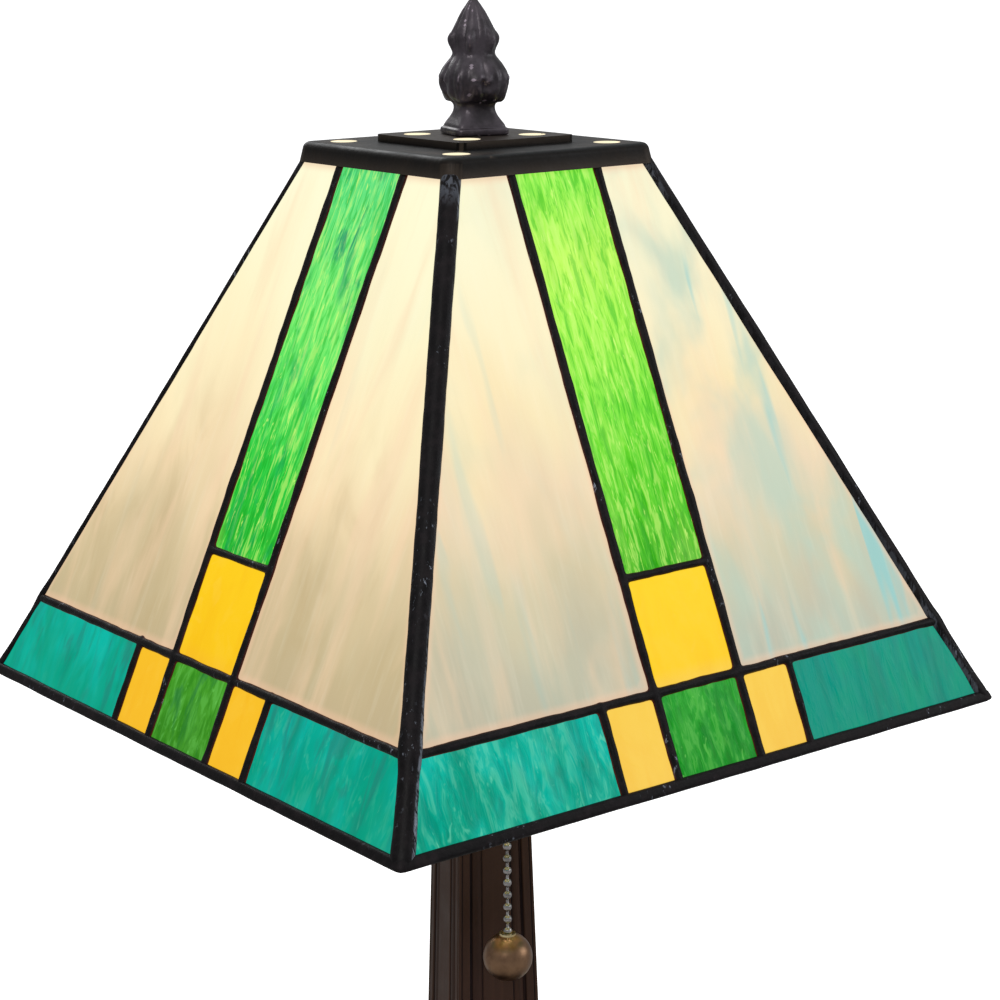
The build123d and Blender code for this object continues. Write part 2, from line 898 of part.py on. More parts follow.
with BuildPart() as shell_liner:
    with BuildSketch(Plane.XY.offset(socket_low_z + shell_low + 0.7)):
        Circle(17.25)
        Circle(16.5, mode=Mode.SUBTRACT)
    extrude(amount=shell_shoulder - shell_low - 1.4)
    with BuildSketch(Plane(origin=(0, 0, guide_z), z_dir=outlet_dir)):
        Circle(outlet_hole)
    extrude(amount=25, mode=Mode.SUBTRACT)
finish(shell_liner, "shell_liner")

terminal_turns = (145, 215)  # angles from the outlet direction
terminal_level = socket_low_z + 19.4
terminal_flat = 12.4


def terminal_plane(turn):
    """Flat seat of one binding screw, facing outwards."""
    angle = math.radians(turn)
    outward = outlet_dir * math.cos(angle) + across_dir * math.sin(angle)
    return Plane(
        origin=outward * terminal_flat + Vector(0, 0, terminal_level),
        x_dir=Vector(0, 0, 1).cross(outward),
        z_dir=outward,
    )


body_radius = 16.3
body_low = 9.2
contact_pin_low_z = socket_seat_z - 4.0

with BuildPart() as socket_body:
    with BuildSketch(socket_profile):
        with BuildLine():
            Polyline(
                (0, body_low),
                (11.5, body_low),
                (body_radius, body_low + 6.0),
                (body_radius, seat_height),
                (0, seat_height),
                close=True,
            )
        make_face()
    revolve(axis=Axis.Z)
    # room for the switch, open towards the outlet
    with BuildSketch(outlet_plane.offset(-13.2)):
        with Locations((11.0, -(cavity_low_side + cavity_high_side) / 2)):
            Rectangle(12.4, cavity_high_side - cavity_low_side)
    extrude(amount=16.4, mode=Mode.SUBTRACT)
    # bearings of the switch shaft
    with BuildSketch(switch_plane.offset(-shaft_end - 0.3)):
        Circle(shaft_radius + running_clearance)
    extrude(amount=2 * shaft_end + 0.6, mode=Mode.SUBTRACT)
    # cord entry
    extrude(disc_face(pipe_high_z, 3.2), amount=6.5, mode=Mode.SUBTRACT)
    # bore of the centre contact's pin
    extrude(disc_face(contact_pin_low_z - 0.5, 1.3), amount=5, mode=Mode.SUBTRACT)
    for turn in terminal_turns:
        with BuildSketch(terminal_plane(turn)):
            Rectangle(9, 12)
        extrude(amount=6, mode=Mode.SUBTRACT)
        with BuildSketch(terminal_plane(turn)):
            Circle(1.5)
        extrude(amount=-5, mode=Mode.SUBTRACT)
finish(socket_body, "socket_body")

with BuildPart() as terminal_screws:
    for turn in terminal_turns:
        with BuildSketch(terminal_plane(turn).offset(0.05)):
            Circle(3.0)
        extrude(amount=1.6)
        with BuildSketch(terminal_plane(turn).offset(0.05)):
            Circle(1.45)
        extrude(amount=-4.5)
finish(terminal_screws, "terminal_screws")

# Screw shell and bulb cap carry rings in place of the helical thread
thread_pitch = 3.63
ring_depth = 0.45


def ringed_side(radius, low, rings):
    """Points of a wavy upright outline, its crests at radius."""
    points = []
    for ring in range(rings):
        level = low + ring * thread_pitch
        points.append((radius - ring_depth, level))
        points.append((radius, level + thread_pitch / 2))
    points.append((radius - ring_depth, low + rings * thread_pitch))
    return points


with BuildPart() as screw_shell:
    outline = ringed_side(13.95, socket_seat_z + 0.5, 5)
    inner_outline = [(radius - 0.4, level) for radius, level in reversed(outline)]
    with BuildSketch(Plane.XZ):
        with BuildLine():
            Polyline(
                (8.0, socket_seat_z),
                (13.5, socket_seat_z),
                *outline,
                *inner_outline,
                (8.0, socket_seat_z + 0.5),
                close=True,
            )
        make_face()
    revolve(axis=Axis.Z)
finish(screw_shell, "screw_shell")

contact_top_z = socket_seat_z + 2.3

with BuildPart() as centre_contact:
    extrude(disc_face(contact_pin_low_z, 1.2), amount=contact_top_z - contact_pin_low_z)
    extrude(disc_face(contact_top_z - 0.5, 3.2), amount=0.5)
finish(centre_contact, "centre_contact")

with BuildPart() as chain_guide:
    with BuildLine() as guide_path:
        bend_start = outlet_dir * (outlet_reach - guide_bend) + Vector(0, 0, guide_z)
        bend_end = chain_foot + Vector(0, 0, chain_top_z)
        guide_start = outlet_dir * 16.4 + Vector(0, 0, guide_z)
        flange_start = outlet_dir * 18.0 + Vector(0, 0, guide_z)
        Line(guide_start, bend_start)
        TangentArc(bend_start, bend_end, tangent=outlet_dir)
    with BuildSketch(Plane(origin=guide_start, z_dir=outlet_dir)):
        Circle(guide_radius)
    sweep()
    loft(
        [
            disc_face(chain_top_z - 3, guide_radius + 1.1, (chain_foot.X, chain_foot.Y)),
            disc_face(chain_top_z, guide_radius, (chain_foot.X, chain_foot.Y)),
        ]
    )
    with BuildSketch(Plane(origin=flange_start, z_dir=outlet_dir)):
        Circle(4.4)
    extrude(amount=0.9)
    with BuildSketch(Plane(origin=guide_start, z_dir=outlet_dir)):
        Circle(guide_bore)
    sweep(path=guide_path.wire(), mode=Mode.SUBTRACT)
    loft(
        [
            disc_face(chain_top_z - 3, guide_radius + 0.4, (chain_foot.X, chain_foot.Y)),
            disc_face(chain_top_z, guide_bore, (chain_foot.X, chain_foot.Y)),
        ],
        mode=Mode.SUBTRACT,
    )
finish(chain_guide, "chain_guide")

# ------------------------------------------------------------ switch
with BuildPart() as switch_rotor:
    with BuildSketch(switch_plane.offset(rotor_start)):
        RectangleRounded(7.4, 7.4, 2.0)
    extrude(amount=rotor_end - rotor_start)
    with BuildSketch(switch_plane.offset(-shaft_end)):
        Circle(shaft_radius)
    extrude(amount=2 * shaft_end)
finish(switch_rotor, "switch_rotor")

tip_across = -lever_arm * math.sin(math.radians(lever_lean))
tip_up = lever_arm * math.cos(math.radians(lever_lean))

with BuildPart() as switch_lever:
    with BuildSketch(switch_plane.offset(-lever_half_thickness)):
        Circle(2.8)
        with Locations((tip_across, tip_up)):
            Circle(lever_tip_radius)
        make_hull()
        Circle(shaft_radius + running_clearance, mode=Mode.SUBTRACT)
    extrude(amount=2 * lever_half_thickness)
finish(switch_lever, "switch_lever")

with BuildPart() as lever_spring:
    with BuildSketch(switch_plane.offset(-3.4)):
        Circle(2.6)
        Circle(2.1, mode=Mode.SUBTRACT)
    extrude(amount=2.3)
finish(lever_spring, "lever_spring")

# ------------------------------------------------------------ chain and ball
lead_start = pivot_reach + tip_across + lever_tip_radius + bead_radius + 0.3
lead_level = Vector(0, 0, guide_z)

with BuildPart() as chain_lead:
    for bead in range(3):
        with Locations(outlet_dir * (lead_start + bead * bead_pitch) + lead_level):
            Sphere(bead_radius)
    with BuildSketch(Plane(origin=outlet_dir * lead_start + lead_level, z_dir=outlet_dir)):
        Circle(link_radius)
    extrude(amount=2 * bead_pitch)
finish(chain_lead, "chain_lead")

with BuildPart() as chain_top_bead:
    with Locations(chain_foot + Vector(0, 0, chain_top_z)):
        Sphere(bead_radius)
finish(chain_top_bead, "chain_top_bead")

with BuildPart() as pull_chain:
    for bead in range(bead_count):
        with Locations(chain_foot + Vector(0, 0, chain_low_z + bead * bead_pitch)):
            Sphere(bead_radius)
    extrude(
        disc_face(chain_low_z, link_radius, (chain_foot.X, chain_foot.Y)),
        amount=bead_count * bead_pitch - bead_radius - 0.05,
    )
finish(pull_chain, "pull_chain")

ball_flat_z = ball_z + 6.5
ball_bore = 1.75
web_low_z = chain_low_z + bead_radius + 0.15
web_high_z = chain_low_z + bead_pitch - bead_radius - 0.15

with BuildPart() as pull_ball:
    with Locations(chain_foot + Vector(0, 0, ball_z)):
        Sphere(ball_radius)
    with BuildSketch(Plane.XY.offset(ball_flat_z)):
        with Locations((chain_foot.X, chain_foot.Y)):
            Circle(ball_radius)
    extrude(amount=2, mode=Mode.SUBTRACT)
    extrude(
        disc_face(chain_low_z - bead_radius - 0.3, ball_bore, (chain_foot.X, chain_foot.Y)),
        amount=8,
        mode=Mode.SUBTRACT,
    )
finish(pull_ball, "pull_ball")

with BuildPart() as ball_ferrule:
    ferrule_centre = (chain_foot.X, chain_foot.Y)
    extrude(disc_face(web_low_z, ball_bore - 0.05, ferrule_centre), amount=ball_flat_z - web_low_z)
    extrude(disc_face(ball_flat_z, 2.3, ferrule_centre), amount=0.6)
    extrude(disc_face(web_low_z - 1, 0.6, ferrule_centre), amount=4, mode=Mode.SUBTRACT)
    extrude(disc_face(web_high_z, 1.4, ferrule_centre), amount=3, mode=Mode.SUBTRACT)
finish(ball_ferrule, "ball_ferrule")

# ------------------------------------------------------------ bulb
bulb_crest = 13.0
bulb_cap_low = contact_top_z + 4.6
tip_radius = 4.0

with BuildPart() as bulb_tip:
    extrude(disc_face(contact_top_z + 0.05, 3.2), amount=0.9)
    extrude(disc_face(contact_top_z + 0.95, tip_radius), amount=1.6)
finish(bulb_tip, "bulb_tip")

with BuildPart() as bulb_cap:
    outline = ringed_side(bulb_crest, bulb_cap_low, 4)
    inner_outline = [(radius - 0.4, level) for radius, level in reversed(outline)]
    rim_z = outline[-1][1]
    with BuildSketch(Plane.XZ):
        with BuildLine():
            Polyline(
                (tip_radius + running_clearance, contact_top_z + 1.1),
                (tip_radius + 1.0, contact_top_z + 1.1),
                *outline,
                (bulb_crest - ring_depth, rim_z + 4.0),
                (bulb_crest - ring_depth - 0.4, rim_z + 4.0),
                *inner_outline,
                (tip_radius + 1.2, contact_top_z + 2.4),
                (tip_radius + running_clearance, contact_top_z + 2.4),
                close=True,
            )
        make_face()
    revolve(axis=Axis.Z)
finish(bulb_cap, "bulb_cap")

neck_radius = 12.0
neck_low_z = rim_z - 2.0
neck_high_z = rim_z + 6.0
bulb_wall = 0.8
bulb_centre_z = bulb_top_z - bulb_radius

with BuildPart() as bulb_envelope:
    with BuildSketch(Plane.XZ):
        with BuildLine():
            Line((neck_radius, neck_low_z), (neck_radius, neck_high_z))
            Spline(
                (neck_radius, neck_high_z),
                (bulb_radius, bulb_centre_z),
                tangents=((0, 1), (0, 1)),
            )
            RadiusArc((bulb_radius, bulb_centre_z), (0, bulb_top_z), -bulb_radius)
            Line((0, bulb_top_z), (0, bulb_top_z - bulb_wall))
            RadiusArc(
                (0, bulb_top_z - bulb_wall),
                (bulb_radius - bulb_wall, bulb_centre_z),
                bulb_radius - bulb_wall,
            )
            Spline(
                (bulb_radius - bulb_wall, bulb_centre_z),
                (neck_radius - bulb_wall, neck_high_z),
                tangents=((0, -1), (0, -1)),
            )
            Line((neck_radius - bulb_wall, neck_high_z), (neck_radius - bulb_wall, neck_low_z))
            Line((neck_radius - bulb_wall, neck_low_z), (neck_radius, neck_low_z))
        make_face()
    revolve(axis=Axis.Z)
finish(bulb_envelope, "bulb_envelope")

filament_z = bulb_centre_z - 10.0
filament_radius = 9.0

with BuildPart() as bulb_stem:
    with BuildSketch(Plane.XZ):
        with BuildLine():
            Polyline(
                (0, neck_low_z + 2),
                (9.0, neck_low_z + 2),
                (4.0, neck_low_z + 9),
                (2.6, neck_low_z + 20),
                (1.5, neck_low_z + 30),
                (0.9, filament_z + 4),
                (0, filament_z + 4),
                close=True,
            )
        make_face()
    revolve(axis=Axis.Z)
    with BuildSketch(Plane(origin=(0, filament_radius, filament_z), z_dir=(1, 0, 0))):
        Circle(0.5)
    revolve(axis=Axis.Z)
    with BuildSketch(Plane(origin=(-filament_radius, 0, filament_z), z_dir=(1, 0, 0))):
        Circle(0.4)
    extrude(amount=2 * filament_radius)
finish(bulb_stem, "bulb_stem")
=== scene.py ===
"""Stained glass table lamp: looks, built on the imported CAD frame. Metres, +Z up, front towards -Y."""

import json
import math

import bpy
import numpy as np
from mathutils import Matrix, Vector


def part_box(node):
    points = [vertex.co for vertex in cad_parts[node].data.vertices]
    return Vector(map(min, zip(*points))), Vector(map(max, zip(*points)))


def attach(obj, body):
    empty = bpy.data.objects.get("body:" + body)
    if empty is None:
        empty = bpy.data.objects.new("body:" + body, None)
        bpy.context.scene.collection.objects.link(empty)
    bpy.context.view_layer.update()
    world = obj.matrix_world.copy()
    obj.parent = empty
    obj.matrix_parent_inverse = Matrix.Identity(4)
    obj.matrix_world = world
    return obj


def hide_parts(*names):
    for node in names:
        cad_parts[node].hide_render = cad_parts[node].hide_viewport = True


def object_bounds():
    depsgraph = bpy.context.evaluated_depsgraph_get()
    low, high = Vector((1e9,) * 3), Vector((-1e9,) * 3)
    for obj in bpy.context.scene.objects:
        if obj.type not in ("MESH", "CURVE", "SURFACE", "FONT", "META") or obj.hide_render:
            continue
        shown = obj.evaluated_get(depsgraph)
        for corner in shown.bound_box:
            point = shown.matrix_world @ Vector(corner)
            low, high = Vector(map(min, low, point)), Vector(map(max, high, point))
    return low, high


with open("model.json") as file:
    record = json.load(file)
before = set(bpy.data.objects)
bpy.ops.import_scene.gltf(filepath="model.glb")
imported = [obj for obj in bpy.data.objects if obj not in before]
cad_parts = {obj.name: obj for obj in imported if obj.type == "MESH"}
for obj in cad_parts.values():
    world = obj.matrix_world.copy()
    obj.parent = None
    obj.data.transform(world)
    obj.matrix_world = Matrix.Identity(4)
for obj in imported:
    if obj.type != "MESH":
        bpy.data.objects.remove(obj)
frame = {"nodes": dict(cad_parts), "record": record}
cad_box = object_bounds()
nodes = frame["nodes"]
scene = bpy.context.scene
MM = 0.001


# ------------------------------------------------------------ the four sides of the shade
def outer_face():
    """Normal and distance from the origin of the front side's outer glass face."""
    mesh = nodes["green_glass_strip"].data
    faces = [p for p in mesh.polygons if p.normal.y < -0.3 and p.normal.z > 0.1]
    face = max(faces, key=lambda p: p.area)
    normal = face.normal.normalized()
    return normal, normal.dot(mesh.vertices[face.vertices[0]].co)


face_normal, face_distance = outer_face()
sin_slope = face_normal.z
cos_slope = -face_normal.y
rim_lift = 1.3 * MM  # the rim's underside is this far above the sharp foot of the glass pyramid
shade_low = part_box("shade_rim")[0].z - rim_lift
shade_half = (face_distance - sin_slope * shade_low) / cos_slope
cap_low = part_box("vented_cap")[0].z
glass_thickness = 2.6 * MM
glass_overlap = 0.8 * MM
face_inset = 0.05 * MM  # rippled faces lie this far inside the flat ones


def on_side(side, across, up, out):
    """Points of one side (0 front, 1 right, 2 back, 3 left): across, up the slope and outwards."""
    across, up, out = np.broadcast_arrays(across, up, out)
    x = across
    y = -shade_half + up * sin_slope - out * cos_slope
    z = shade_low + up * cos_slope + out * sin_slope
    c, s = ((1, 0), (0, 1), (-1, 0), (0, -1))[side]
    return np.stack([x * c - y * s, x * s + y * c, z], -1)


def half_at(up):
    """Half width of a side at a distance up its slope."""
    return shade_half - up * sin_slope


def outline(node):
    """Corners (across, up) of a node's front pane: low left, low right, high right, high left."""
    points = []
    for vertex in nodes[node].data.vertices:
        p = vertex.co
        if p.y < 0 and abs(face_normal.dot(p) - face_distance) < 1e-5:
            points.append((p.x, (p.z - shade_low) / cos_slope))
    points = np.array(points)
    middle = points[:, 1].mean()
    low = points[points[:, 1] < middle]
    high = points[points[:, 1] >= middle]
    picks = [
        low[low[:, 0].argmin()],
        low[low[:, 0].argmax()],
        high[high[:, 0].argmax()],
        high[high[:, 0].argmin()],
    ]
    return np.array(picks)


# ------------------------------------------------------------ noise and mesh helpers
def noise(x, y, seed):
    """Smooth noise between -1 and 1 on a plane."""
    table = np.random.default_rng(seed).uniform(-1, 1, (61, 61))
    x, y = np.broadcast_arrays(np.asarray(x, float), np.asarray(y, float))
    xi = np.floor(x).astype(int)
    yi = np.floor(y).astype(int)
    fx = x - xi
    fy = y - yi
    fx = fx * fx * (3 - 2 * fx)
    fy = fy * fy * (3 - 2 * fy)
    near = table[xi % 61, yi % 61] * (1 - fx) + table[(xi + 1) % 61, yi % 61] * fx
    far = table[xi % 61, (yi + 1) % 61] * (1 - fx) + table[(xi + 1) % 61, (yi + 1) % 61] * fx
    return near * (1 - fy) + far * fy


def make_object(name, points, faces, material, body, smooth=True):
    """New mesh object riding on a body."""
    mesh = bpy.data.meshes.new(name)
    mesh.from_pydata([tuple(p) for p in points], [], faces)
    if smooth:
        mesh.polygons.foreach_set("use_smooth", [True] * len(mesh.polygons))
    mesh.materials.append(material)
    mesh.update()
    piece = bpy.data.objects.new(name, mesh)
    scene.collection.objects.link(piece)
    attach(piece, body)
    return piece


def point_values(mesh, name, values):
    """Store one number per vertex for the material to read."""
    layer = mesh.attributes.new(name, "FLOAT", "POINT")
    layer.data.foreach_set("value", np.asarray(values, np.float32).ravel())


def tube(rings, close=False):
    """Points and faces of a closed skin over rings of equally many points."""
    count = len(rings[0])
    points = np.concatenate(rings)
    faces = []
    last = len(rings) if close else len(rings) - 1
    for r in range(last):
        a = r * count
        b = ((r + 1) % len(rings)) * count
        for i in range(count):
            j = (i + 1) % count
            faces.append((a + i, a + j, b + j, b + i))
    if not close:
        faces.append(tuple(range(count))[::-1])
        faces.append(tuple(range((len(rings) - 1) * count, len(rings) * count)))
    return points, faces


def merge(parts):
    """Several (points, faces) as one."""
    points, faces, start = [], [], 0
    for some_points, some_faces in parts:
        points.append(some_points)
        faces += [tuple(i + start for i in face) for face in some_faces]
        start += len(some_points)
    return np.concatenate(points), faces


def superellipse(count, half_a, half_b, power):
    """Closed outline between an ellipse (power 2) and a rectangle."""
    angle = np.linspace(0, 2 * math.pi, count, endpoint=False)
    c, s = np.cos(angle), np.sin(angle)
    scale = (np.abs(c) ** power + np.abs(s) ** power) ** (-1 / power)
    return half_a * c * scale, half_b * s * scale


def fused(piece, voxel, smoothing):
    """Replace a piece's mesh by one watertight skin round all its parts, then relax it."""
    remesh = piece.modifiers.new("fuse", "REMESH")
    remesh.mode = "VOXEL"
    remesh.voxel_size = voxel
    relax = piece.modifiers.new("relax", "SMOOTH")
    relax.factor = 0.5
    relax.iterations = smoothing
    bpy.context.view_layer.update()
    shape = piece.evaluated_get(bpy.context.evaluated_depsgraph_get())
    mesh = bpy.data.meshes.new_from_object(shape)
    piece.modifiers.clear()
    material = piece.data.materials[0]
    old = piece.data
    piece.data = mesh
    bpy.data.meshes.remove(old)
    mesh.materials.clear()
    mesh.materials.append(material)
    mesh.polygons.foreach_set("use_smooth", [True] * len(mesh.polygons))
    return mesh


def coordinates(mesh):
    """All vertices of a mesh as an array."""
    co = np.zeros(len(mesh.vertices) * 3)
    mesh.vertices.foreach_get("co", co)
    return co.reshape(-1, 3)


def roughen(mesh, grain, height, seed):
    """Push the skin in and out by up to height mm; grain is the size of the unevenness along x, y and z."""
    co = coordinates(mesh)
    normals = np.zeros(len(co) * 3)
    mesh.vertices.foreach_get("normal", normals)
    normals = normals.reshape(-1, 3)
    rough = noise(co[:, 0] / (grain[0] * MM) + co[:, 1] / (grain[1] * MM), co[:, 2] / (grain[2] * MM), seed)
    co += normals * rough[:, None] * height * MM
    mesh.vertices.foreach_set("co", co.ravel())
    mesh.update()
    return co


# ------------------------------------------------------------ material helpers
def linear(colour):
    """Linear colour from 0-255 display values."""
    out = []
    for value in colour[:3]:
        value = value / 255
        out.append(value / 12.92 if value <= 0.04045 else ((value + 0.055) / 1.055) ** 2.4)
    return (*out, 1.0)


class Shader:
    """A material being built round one Principled shader."""

    def __init__(self, name):
        self.material = bpy.data.materials.new(name)
        self.material.use_nodes = True
        self.tree = self.material.node_tree
        self.surface = next(n for n in self.tree.nodes if n.type == "BSDF_PRINCIPLED")

    def node(self, kind, values=None, **settings):
        node = self.tree.nodes.new("ShaderNode" + kind)
        for key, value in settings.items():
            setattr(node, key, value)
        for key, value in (values or {}).items():
            self.feed(node.inputs[key], value)
        return node

    def feed(self, socket, value):
        if isinstance(value, bpy.types.NodeSocket):
            self.tree.links.new(value, socket)
        else:
            socket.default_value = value

    def set(self, **values):
        for key, value in values.items():
            self.feed(self.surface.inputs[key.replace("_", " ")], value)
        return self

    def math(self, operation, a, b=0.0):
        return self.node("Math", {0: a, 1: b}, operation=operation).outputs[0]

    def mix(self, factor, a, b, blend="MIX"):
        node = self.node("Mix", data_type="RGBA", blend_type=blend)
        self.feed(node.inputs[0], factor)
        self.feed(node.inputs[6], a)
        self.feed(node.inputs[7], b)
        return node.outputs[2]

    def spread(self, value, low, high, to_low=0.0, to_high=1.0):
        """value rescaled from low..high to to_low..to_high, held at both ends."""
        return self.node(
            "MapRange", {0: value, 1: low, 2: high, 3: to_low, 4: to_high}, interpolation_type="SMOOTHSTEP"
        ).outputs[0]

    def attribute(self, name):
        return self.node("Attribute", attribute_name=name).outputs["Fac"]

    def place(self):
        return self.node("TexCoord").outputs["Object"]

    def stretched(self, vector, scale, turn=0.0):
        values = {"Vector": vector, "Scale": scale, "Rotation": (0, 0, turn)}
        return self.node("Mapping", values).outputs[0]

    def noise(self, vector, scale, detail=2.0, rough=0.5, seed=None, distortion=0.0):
        values = {"Vector": vector, "Scale": scale, "Detail": detail, "Roughness": rough}
        values["Distortion"] = distortion
        if seed is None:
            return self.node("TexNoise", values).outputs["Fac"]
        values["W"] = seed
        return self.node("TexNoise", values, noise_dimensions="4D").outputs["Fac"]

    def ramp(self, value, stops):
        """Colour ramp over (place, display colour) stops."""
        node = self.node("ValToRGB", {"Fac": value})
        elements = node.color_ramp.elements
        while len(elements) < len(stops):
            elements.new(0.5)
        for element, (place, colour) in zip(elements, stops):
            element.position = place
            element.color = linear(colour)
        return node.outputs["Color"]

    def bump(self, height, distance):
        return self.node("Bump", {"Height": height, "Distance": distance, "Strength": 1.0}).outputs["Normal"]


def metal(name, dark, light, rough=(0.35, 0.5), metallic=0.7, grain=0.05 * MM, size=90.0, wear=0.0):
    """Cast or plated metal: mottled tone, uneven gloss, a fine grain and paler rubbed edges."""
    s = Shader(name)
    place = s.place()
    mottle = s.noise(place, size, 4.0, 0.6)
    colour = s.mix(s.spread(mottle, 0.35, 0.65), linear(dark), linear(light))
    if wear:
        edge = s.spread(s.node("NewGeometry").outputs["Pointiness"], 0.51, 0.58)
        edge = s.math("MULTIPLY", edge, wear)
        colour = s.mix(edge, colour, linear([min(255, 2.2 * v + 25) for v in light]))
    fine = s.noise(place, size * 12, 3.0, 0.6)
    s.set(
        Base_Color=colour,
        Metallic=metallic,
        Roughness=s.spread(s.noise(place, size * 3, 3.0), 0.3, 0.7, *rough),
        Normal=s.bump(fine, grain),
    )
    return s.material


def moulded(name, tone, rough=0.45):
    """Moulded plastic, rubber, card or felt with a slight grain."""
    s = Shader(name)
    place = s.place()
    darker = linear([0.8 * v for v in tone])
    colour = s.mix(s.noise(place, 160.0, 3.0), linear(tone), darker)
    s.set(Base_Color=colour, Roughness=rough, Normal=s.bump(s.noise(place, 900.0), 0.06 * MM))
    return s.material


# ------------------------------------------------------------ glass materials
cm = 0.01  # the panes' UV map counts across and up the slope in centimetres
slope_cm = 16.8


def glass_base(name):
    """Shader with the coordinates that every glass uses."""
    s = Shader(name)
    s.uv = s.node("UVMap", uv_map="UVMap").outputs["UV"]
    s.seed = s.attribute("seed")
    s.tone = s.attribute("tone")
    s.up = s.node("SeparateXYZ", {0: s.uv}).outputs["Y"]
    return s


def glass_finish(s, colour, glow=0.93, rough=0.24, ripple=None, depth=0.1 * MM):
    """Glass lit from behind: most of its colour is light that comes through."""
    s.set(
        Base_Color=s.mix(1.0, colour, (0.12, 0.12, 0.12, 1), "MULTIPLY"),
        Emission_Color=colour,
        Emission_Strength=glow,
        Roughness=rough,
        IOR=1.45,
    )
    s.surface.inputs["Specular IOR Level"].default_value = 0.08
    if ripple is not None:
        s.set(Normal=s.bump(ripple, depth))
    return s.material


def level_stops(stops):
    """Ramp stops given by centimetres up the slope."""
    return [(up / slope_cm, colour) for up, colour in stops]


def cream_glass():
    """Opalescent glass, bright near the bulb and duller towards the rim, in a warm and a cool sheet."""
    s = glass_base("glass_cream")
    drift = s.noise(s.stretched(s.uv, (0.45, 0.2, 1)), 1.0, 2.0, 0.5, s.seed)
    drift = s.math("MULTIPLY", s.math("SUBTRACT", drift, 0.5), 0.3)
    level = s.math("ADD", s.math("DIVIDE", s.up, slope_cm), drift)
    warm = s.ramp(
        level,
        level_stops(
            [
                (1.5, (190, 173, 138)),
                (4.0, (200, 182, 142)),
                (6.0, (217, 197, 156)),
                (8.0, (243, 219, 176)),
                (10.0, (253, 236, 192)),
                (12.2, (254, 245, 203)),
                (15.8, (255, 251, 214)),
            ]
        ),
    )
    cool = s.ramp(
        level,
        level_stops(
            [
                (1.5, (178, 182, 166)),
                (4.0, (192, 191, 170)),
                (6.0, (212, 202, 170)),
                (8.0, (238, 216, 182)),
                (10.0, (247, 228, 182)),
                (12.2, (250, 238, 198)),
                (15.8, (248, 244, 208)),
            ]
        ),
    )
    colour = s.mix(s.tone, warm, cool)
    low = s.spread(s.up, 12.0, 5.0)
    # soft cloudy patches, ochre on the warm panes
    cloud = s.noise(s.stretched(s.uv, (0.6, 0.24, 1), 0.2), 1.0, 4.0, 0.6, s.seed, 0.8)
    cloud = s.spread(cloud, 0.46, 0.72)
    ochre = s.math("MULTIPLY", s.math("MULTIPLY", cloud, s.math("SUBTRACT", 1.1, s.tone)), low)
    colour = s.mix(s.math("MULTIPLY", ochre, 0.4), colour, linear((190, 168, 124)))
    # long soft wisps running down the sheet: peach and pale blue
    seed = s.math("ADD", s.seed, 7.3)
    wisp = s.noise(s.stretched(s.uv, (1.0, 0.16, 1), 0.15), 1.0, 4.0, 0.5, seed, 0.6)
    colour = s.mix(s.math("MULTIPLY", s.spread(wisp, 0.46, 0.72), 0.4), colour, linear((250, 214, 178)))
    seed = s.math("ADD", s.seed, 3.1)
    blue = s.noise(s.stretched(s.uv, (0.5, 0.26, 1), -0.12), 1.0, 3.0, 0.5, seed, 0.7)
    blue = s.math("MULTIPLY", s.spread(blue, 0.4, 0.72), s.attribute("blue"))
    colour = s.mix(s.math("MULTIPLY", blue, 0.72), colour, linear((178, 208, 192)))
    seed = s.math("ADD", s.seed, 5.5)
    vein = s.noise(s.stretched(s.uv, (1.3, 0.16, 1), -0.12), 1.0, 2.0, 0.5, seed, 0.4)
    vein = s.math("MULTIPLY", s.spread(vein, 0.58, 0.7), s.attribute("blue"))
    colour = s.mix(s.math("MULTIPLY", vein, 0.8), colour, linear((138, 204, 204)))
    fine = s.noise(s.stretched(s.uv, (4.0, 0.35, 1), 0.12), 1.0, 4.0, 0.6, s.math("ADD", s.seed, 1.7))
    colour = s.mix(s.math("MULTIPLY", s.spread(fine, 0.5, 0.75), 0.09), colour, linear((255, 250, 228)))
    colour = s.mix(s.math("MULTIPLY", s.spread(fine, 0.48, 0.25), 0.06), colour, linear((206, 178, 140)))
    border = s.spread(s.attribute("border"), 2.6, 0.0)
    colour = s.mix(s.math("MULTIPLY", border, 0.42), colour, linear((250, 202, 170)))
    ripple = s.noise(s.stretched(s.uv, (2.0, 0.7, 1)), 1.5, 2.0)
    return glass_finish(s, colour, 0.93, 0.22, ripple, 0.12 * MM)


